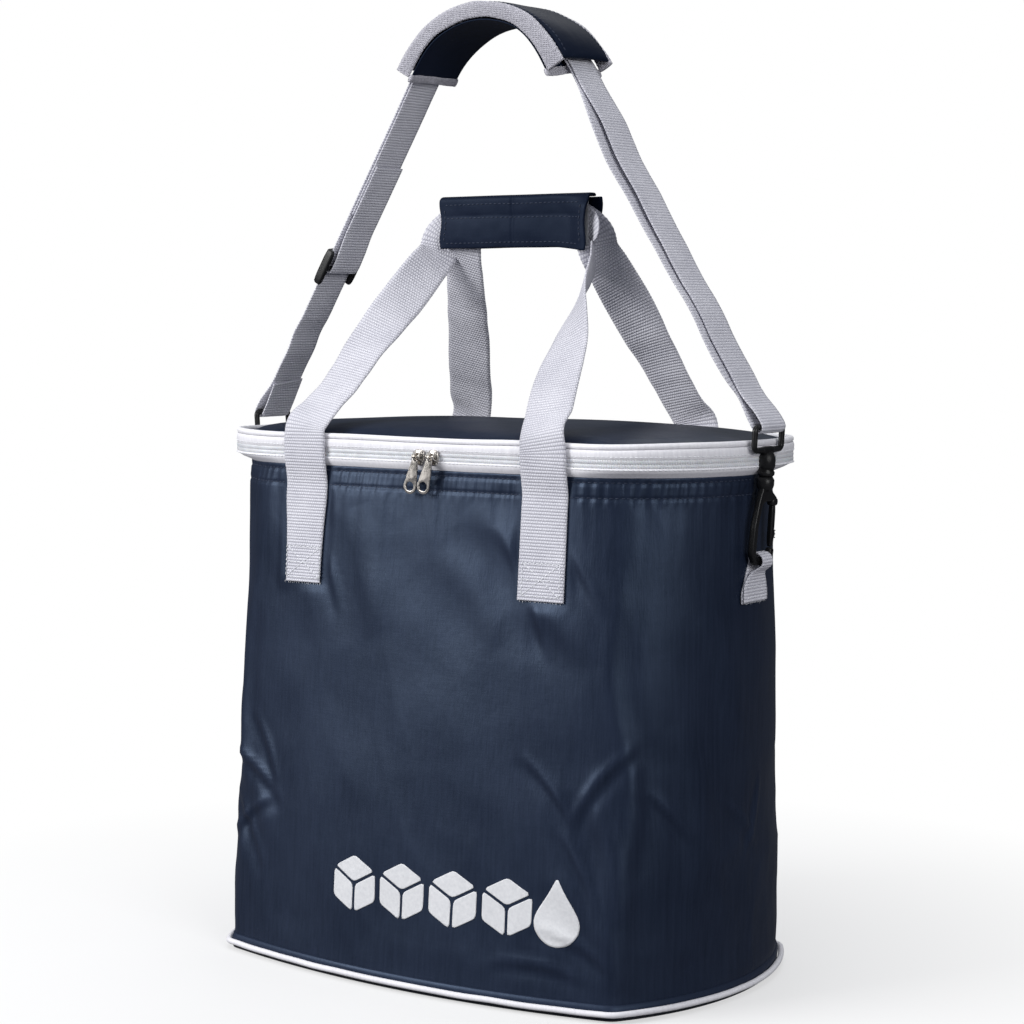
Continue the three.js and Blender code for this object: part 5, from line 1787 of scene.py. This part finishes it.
WALL_TREE = BVHTree.FromObject(WALLS, bpy.context.evaluated_depsgraph_get())
PRINT_LIFT, PRINT_SUNK = 0.36, 0.15  # the ink's face and its underside, from the cloth
PRINT_Z = 67.0


def front_point(x, z, lift):
    """A place on the front wall's cloth, lifted off it."""
    hit, normal = WALL_TREE.ray_cast(Vector((x * MM, -0.3, z * MM)), Vector((0, 1, 0)), 0.4)[:2]
    return np.array(hit) / MM + np.array(normal) * lift


def ink_shape(outline):
    """A film of ink with this outline, lying on the front wall."""
    outline = np.asarray(outline, float)
    middle = outline.mean(0)
    rings = []
    for scale in np.linspace(0.08, 1, 14):
        flat = middle + (outline - middle) * scale
        rings.append([front_point(x, z, PRINT_LIFT) for x, z in flat])
    for flat in (outline, middle + (outline - middle) * 0.1):
        rings.append([front_point(x, z, -PRINT_SUNK) for x, z in flat])
    return np.concatenate(rings), tube_faces(len(rings), len(outline))


def fine_outline(points, step=2.2):
    closed = np.vstack([points, points[:1]])
    length = np.linalg.norm(np.diff(closed, axis=0), axis=1).sum()
    return evenly(np.asarray(points, float), max(12, int(length / step)), closed=True)


def ice_block(x, z, size):
    """Three faces of a plain block seen from a corner, parted by gaps."""
    gap = 1.1
    wide, tall = size * 0.9, size
    faces = [
        [(0, gap), (wide - gap, tall * 0.5), (0, tall - gap), (-wide + gap, tall * 0.5)],
        [(-wide, tall * 0.5 - gap * 1.6), (-gap, -gap * 0.6), (-gap, -tall + gap),
         (-wide, -tall * 0.5)],
        [(wide, tall * 0.5 - gap * 1.6), (wide, -tall * 0.5), (gap, -tall + gap),
         (gap, -gap * 0.6)],
    ]
    shapes = []
    for corner_points in faces:
        line = rounded([(x + a, z + b) for a, b in corner_points], 2.6, 4)
        shapes.append(ink_shape(fine_outline(line)))
    return shapes


def drop(x, z, size):
    """A falling drop: a circle drawn out to a point at its top."""
    line = []
    for turn in round_turns(40):
        a, b = 0.72 * math.sin(turn), -0.72 * math.cos(turn) - 0.28
        pull = max(0.0, -math.cos(turn)) ** 2.2
        line.append((x + size * a * (1 - 0.75 * pull), z + size * (b + 0.56 * pull)))
    return ink_shape(fine_outline(np.array(line), 1.8))


def make_print():
    parts = []
    for x in (-38, 3.5, 45, 86.5):
        parts += ice_block(x, PRINT_Z, 20.5)
    parts.append(drop(123, PRINT_Z, 22.5))
    settle(merged("front_print", parts, INK), "bag")


make_print()


# ---------------------------------------------------------------- stage, lights and camera

WORLD_FILL = 0.30
WORLD_GLOSS = 0.10
LIGHT_TARGET = Vector((0, 0, 0.3))
CAMERA_TARGET = Vector((0.0052, 0.0037, 0.3152))
CAMERA_AZIMUTH = 35.43
CAMERA_PITCH = 4.74
CAMERA_DISTANCE = 1.7379
CAMERA_LENS = 86.45


def stage_material():
    """Pale floor, fading to plain white for the camera and dull for the light it throws back."""
    s = Shader("pale_floor")
    where = s.node("SeparateXYZ", {0: s.place.outputs["Object"]})
    squares = [s.maths("POWER", where.outputs[axis], 2.0) for axis in "XY"]
    away = s.maths("SQRT", s.maths("ADD", *squares))
    floor = s.node("BsdfPrincipled", {
        "Base Color": s.tones(s.cloud(180), (0.84, 0.84, 0.85), (0.88, 0.88, 0.89)),
        "Roughness": 0.85,
        "Specular IOR Level": 0.2,
    })
    glow = s.node("Emission", {"Color": (1.0, 1.0, 1.0, 1), "Strength": 1.0})
    seen = s.node("MixShader", {0: s.spread(away, 0.2, 0.6, 0.55, 1.0), 1: floor, 2: glow})
    dull = s.node("BsdfDiffuse", {"Color": (0.15, 0.15, 0.16, 1)})
    camera = s.node("LightPath").outputs["Is Camera Ray"]
    mix = s.node("MixShader", {0: camera, 1: dull, 2: seen})
    s.tree.links.new(mix.outputs[0], s.out.inputs[0])
    return s.material


def make_floor():
    sides, radii = 48, (0.5, 1.0, 2.0, 4.0, 12.0, 60.0)
    points = [(0, 0, 0)]
    for radius in radii:
        points += [(radius * math.cos(t), radius * math.sin(t), 0) for t in round_turns(sides)]
    faces = [(0, 1 + i, 1 + (i + 1) % sides) for i in range(sides)]
    faces += grid_faces(len(radii), sides, wrap_columns=True, first=1, flip=True)
    mesh = bpy.data.meshes.new("floor")
    mesh.from_pydata(points, [], faces)
    mesh.materials.append(stage_material())
    floor = bpy.data.objects.new("floor", mesh)
    floor.location.z = -0.0003  # just under the bag's base
    bpy.context.scene.collection.objects.link(floor)


def direction(azimuth, elevation):
    """The way to a place seen from the bag's middle; azimuth 0 is in front, in degrees."""
    a, e = math.radians(azimuth), math.radians(elevation)
    return Vector((math.sin(a) * math.cos(e), -math.cos(a) * math.cos(e), math.sin(e)))


def aimed(name, data, target, azimuth, elevation, distance):
    """A lamp or camera that looks at a target."""
    made = bpy.data.objects.new(name, data)
    away = direction(azimuth, elevation)
    made.location = target + away * distance
    made.rotation_euler = away.to_track_quat("Z", "Y").to_euler()
    bpy.context.scene.collection.objects.link(made)
    return made


def area_light(name, azimuth, elevation, distance, size, power):
    """A square soft light aimed at the middle of the bag."""
    lamp = bpy.data.lights.new(name, "AREA")
    lamp.shape = "RECTANGLE"
    lamp.size = lamp.size_y = size
    lamp.energy = power
    aimed(name, lamp, LIGHT_TARGET, azimuth, elevation, distance)


def background(tree, strength, colour=(1.0, 1.0, 1.0)):
    made = tree.nodes.new("ShaderNodeBackground")
    made.inputs["Color"].default_value = (*colour, 1)
    made.inputs["Strength"].default_value = strength
    return made


def chosen(tree, factor, low, high):
    mix = tree.nodes.new("ShaderNodeMixShader")
    for socket, source in enumerate((factor, low.outputs[0], high.outputs[0])):
        tree.links.new(source, mix.inputs[socket])
    return mix


def make_world():
    """White to the camera, a soft fill for cloth, and a dim room in reflections."""
    world = bpy.data.worlds.new("studio")
    world.use_nodes = True
    tree = world.node_tree
    tree.nodes.clear()
    out = tree.nodes.new("ShaderNodeOutputWorld")
    path = tree.nodes.new("ShaderNodeLightPath")
    fill = background(tree, WORLD_FILL, (0.86, 0.91, 1.0))
    dim = background(tree, WORLD_GLOSS, (0.85, 0.92, 1.0))
    room = chosen(tree, path.outputs["Is Glossy Ray"], fill, dim)
    whole = chosen(tree, path.outputs["Is Camera Ray"], room, background(tree, 1.0))
    tree.links.new(whole.outputs[0], out.inputs[0])
    bpy.context.scene.world = world


def make_camera():
    lens = bpy.data.cameras.new("camera")
    lens.lens = CAMERA_LENS
    lens.sensor_width = 36
    bpy.context.scene.camera = aimed("camera", lens, CAMERA_TARGET, CAMERA_AZIMUTH, CAMERA_PITCH,
                                     CAMERA_DISTANCE)


make_floor()
make_world()
area_light("key", -36, 24, 2.2, 1.1, 44)
area_light("fill", 64, 18, 2.6, 1.2, 26)
area_light("rear", 200, 50, 2.4, 1.2, 8)
area_light("top", 10, 82, 1.9, 1.4, 9)
make_camera()
bpy.context.scene.view_settings.view_transform = "Standard"
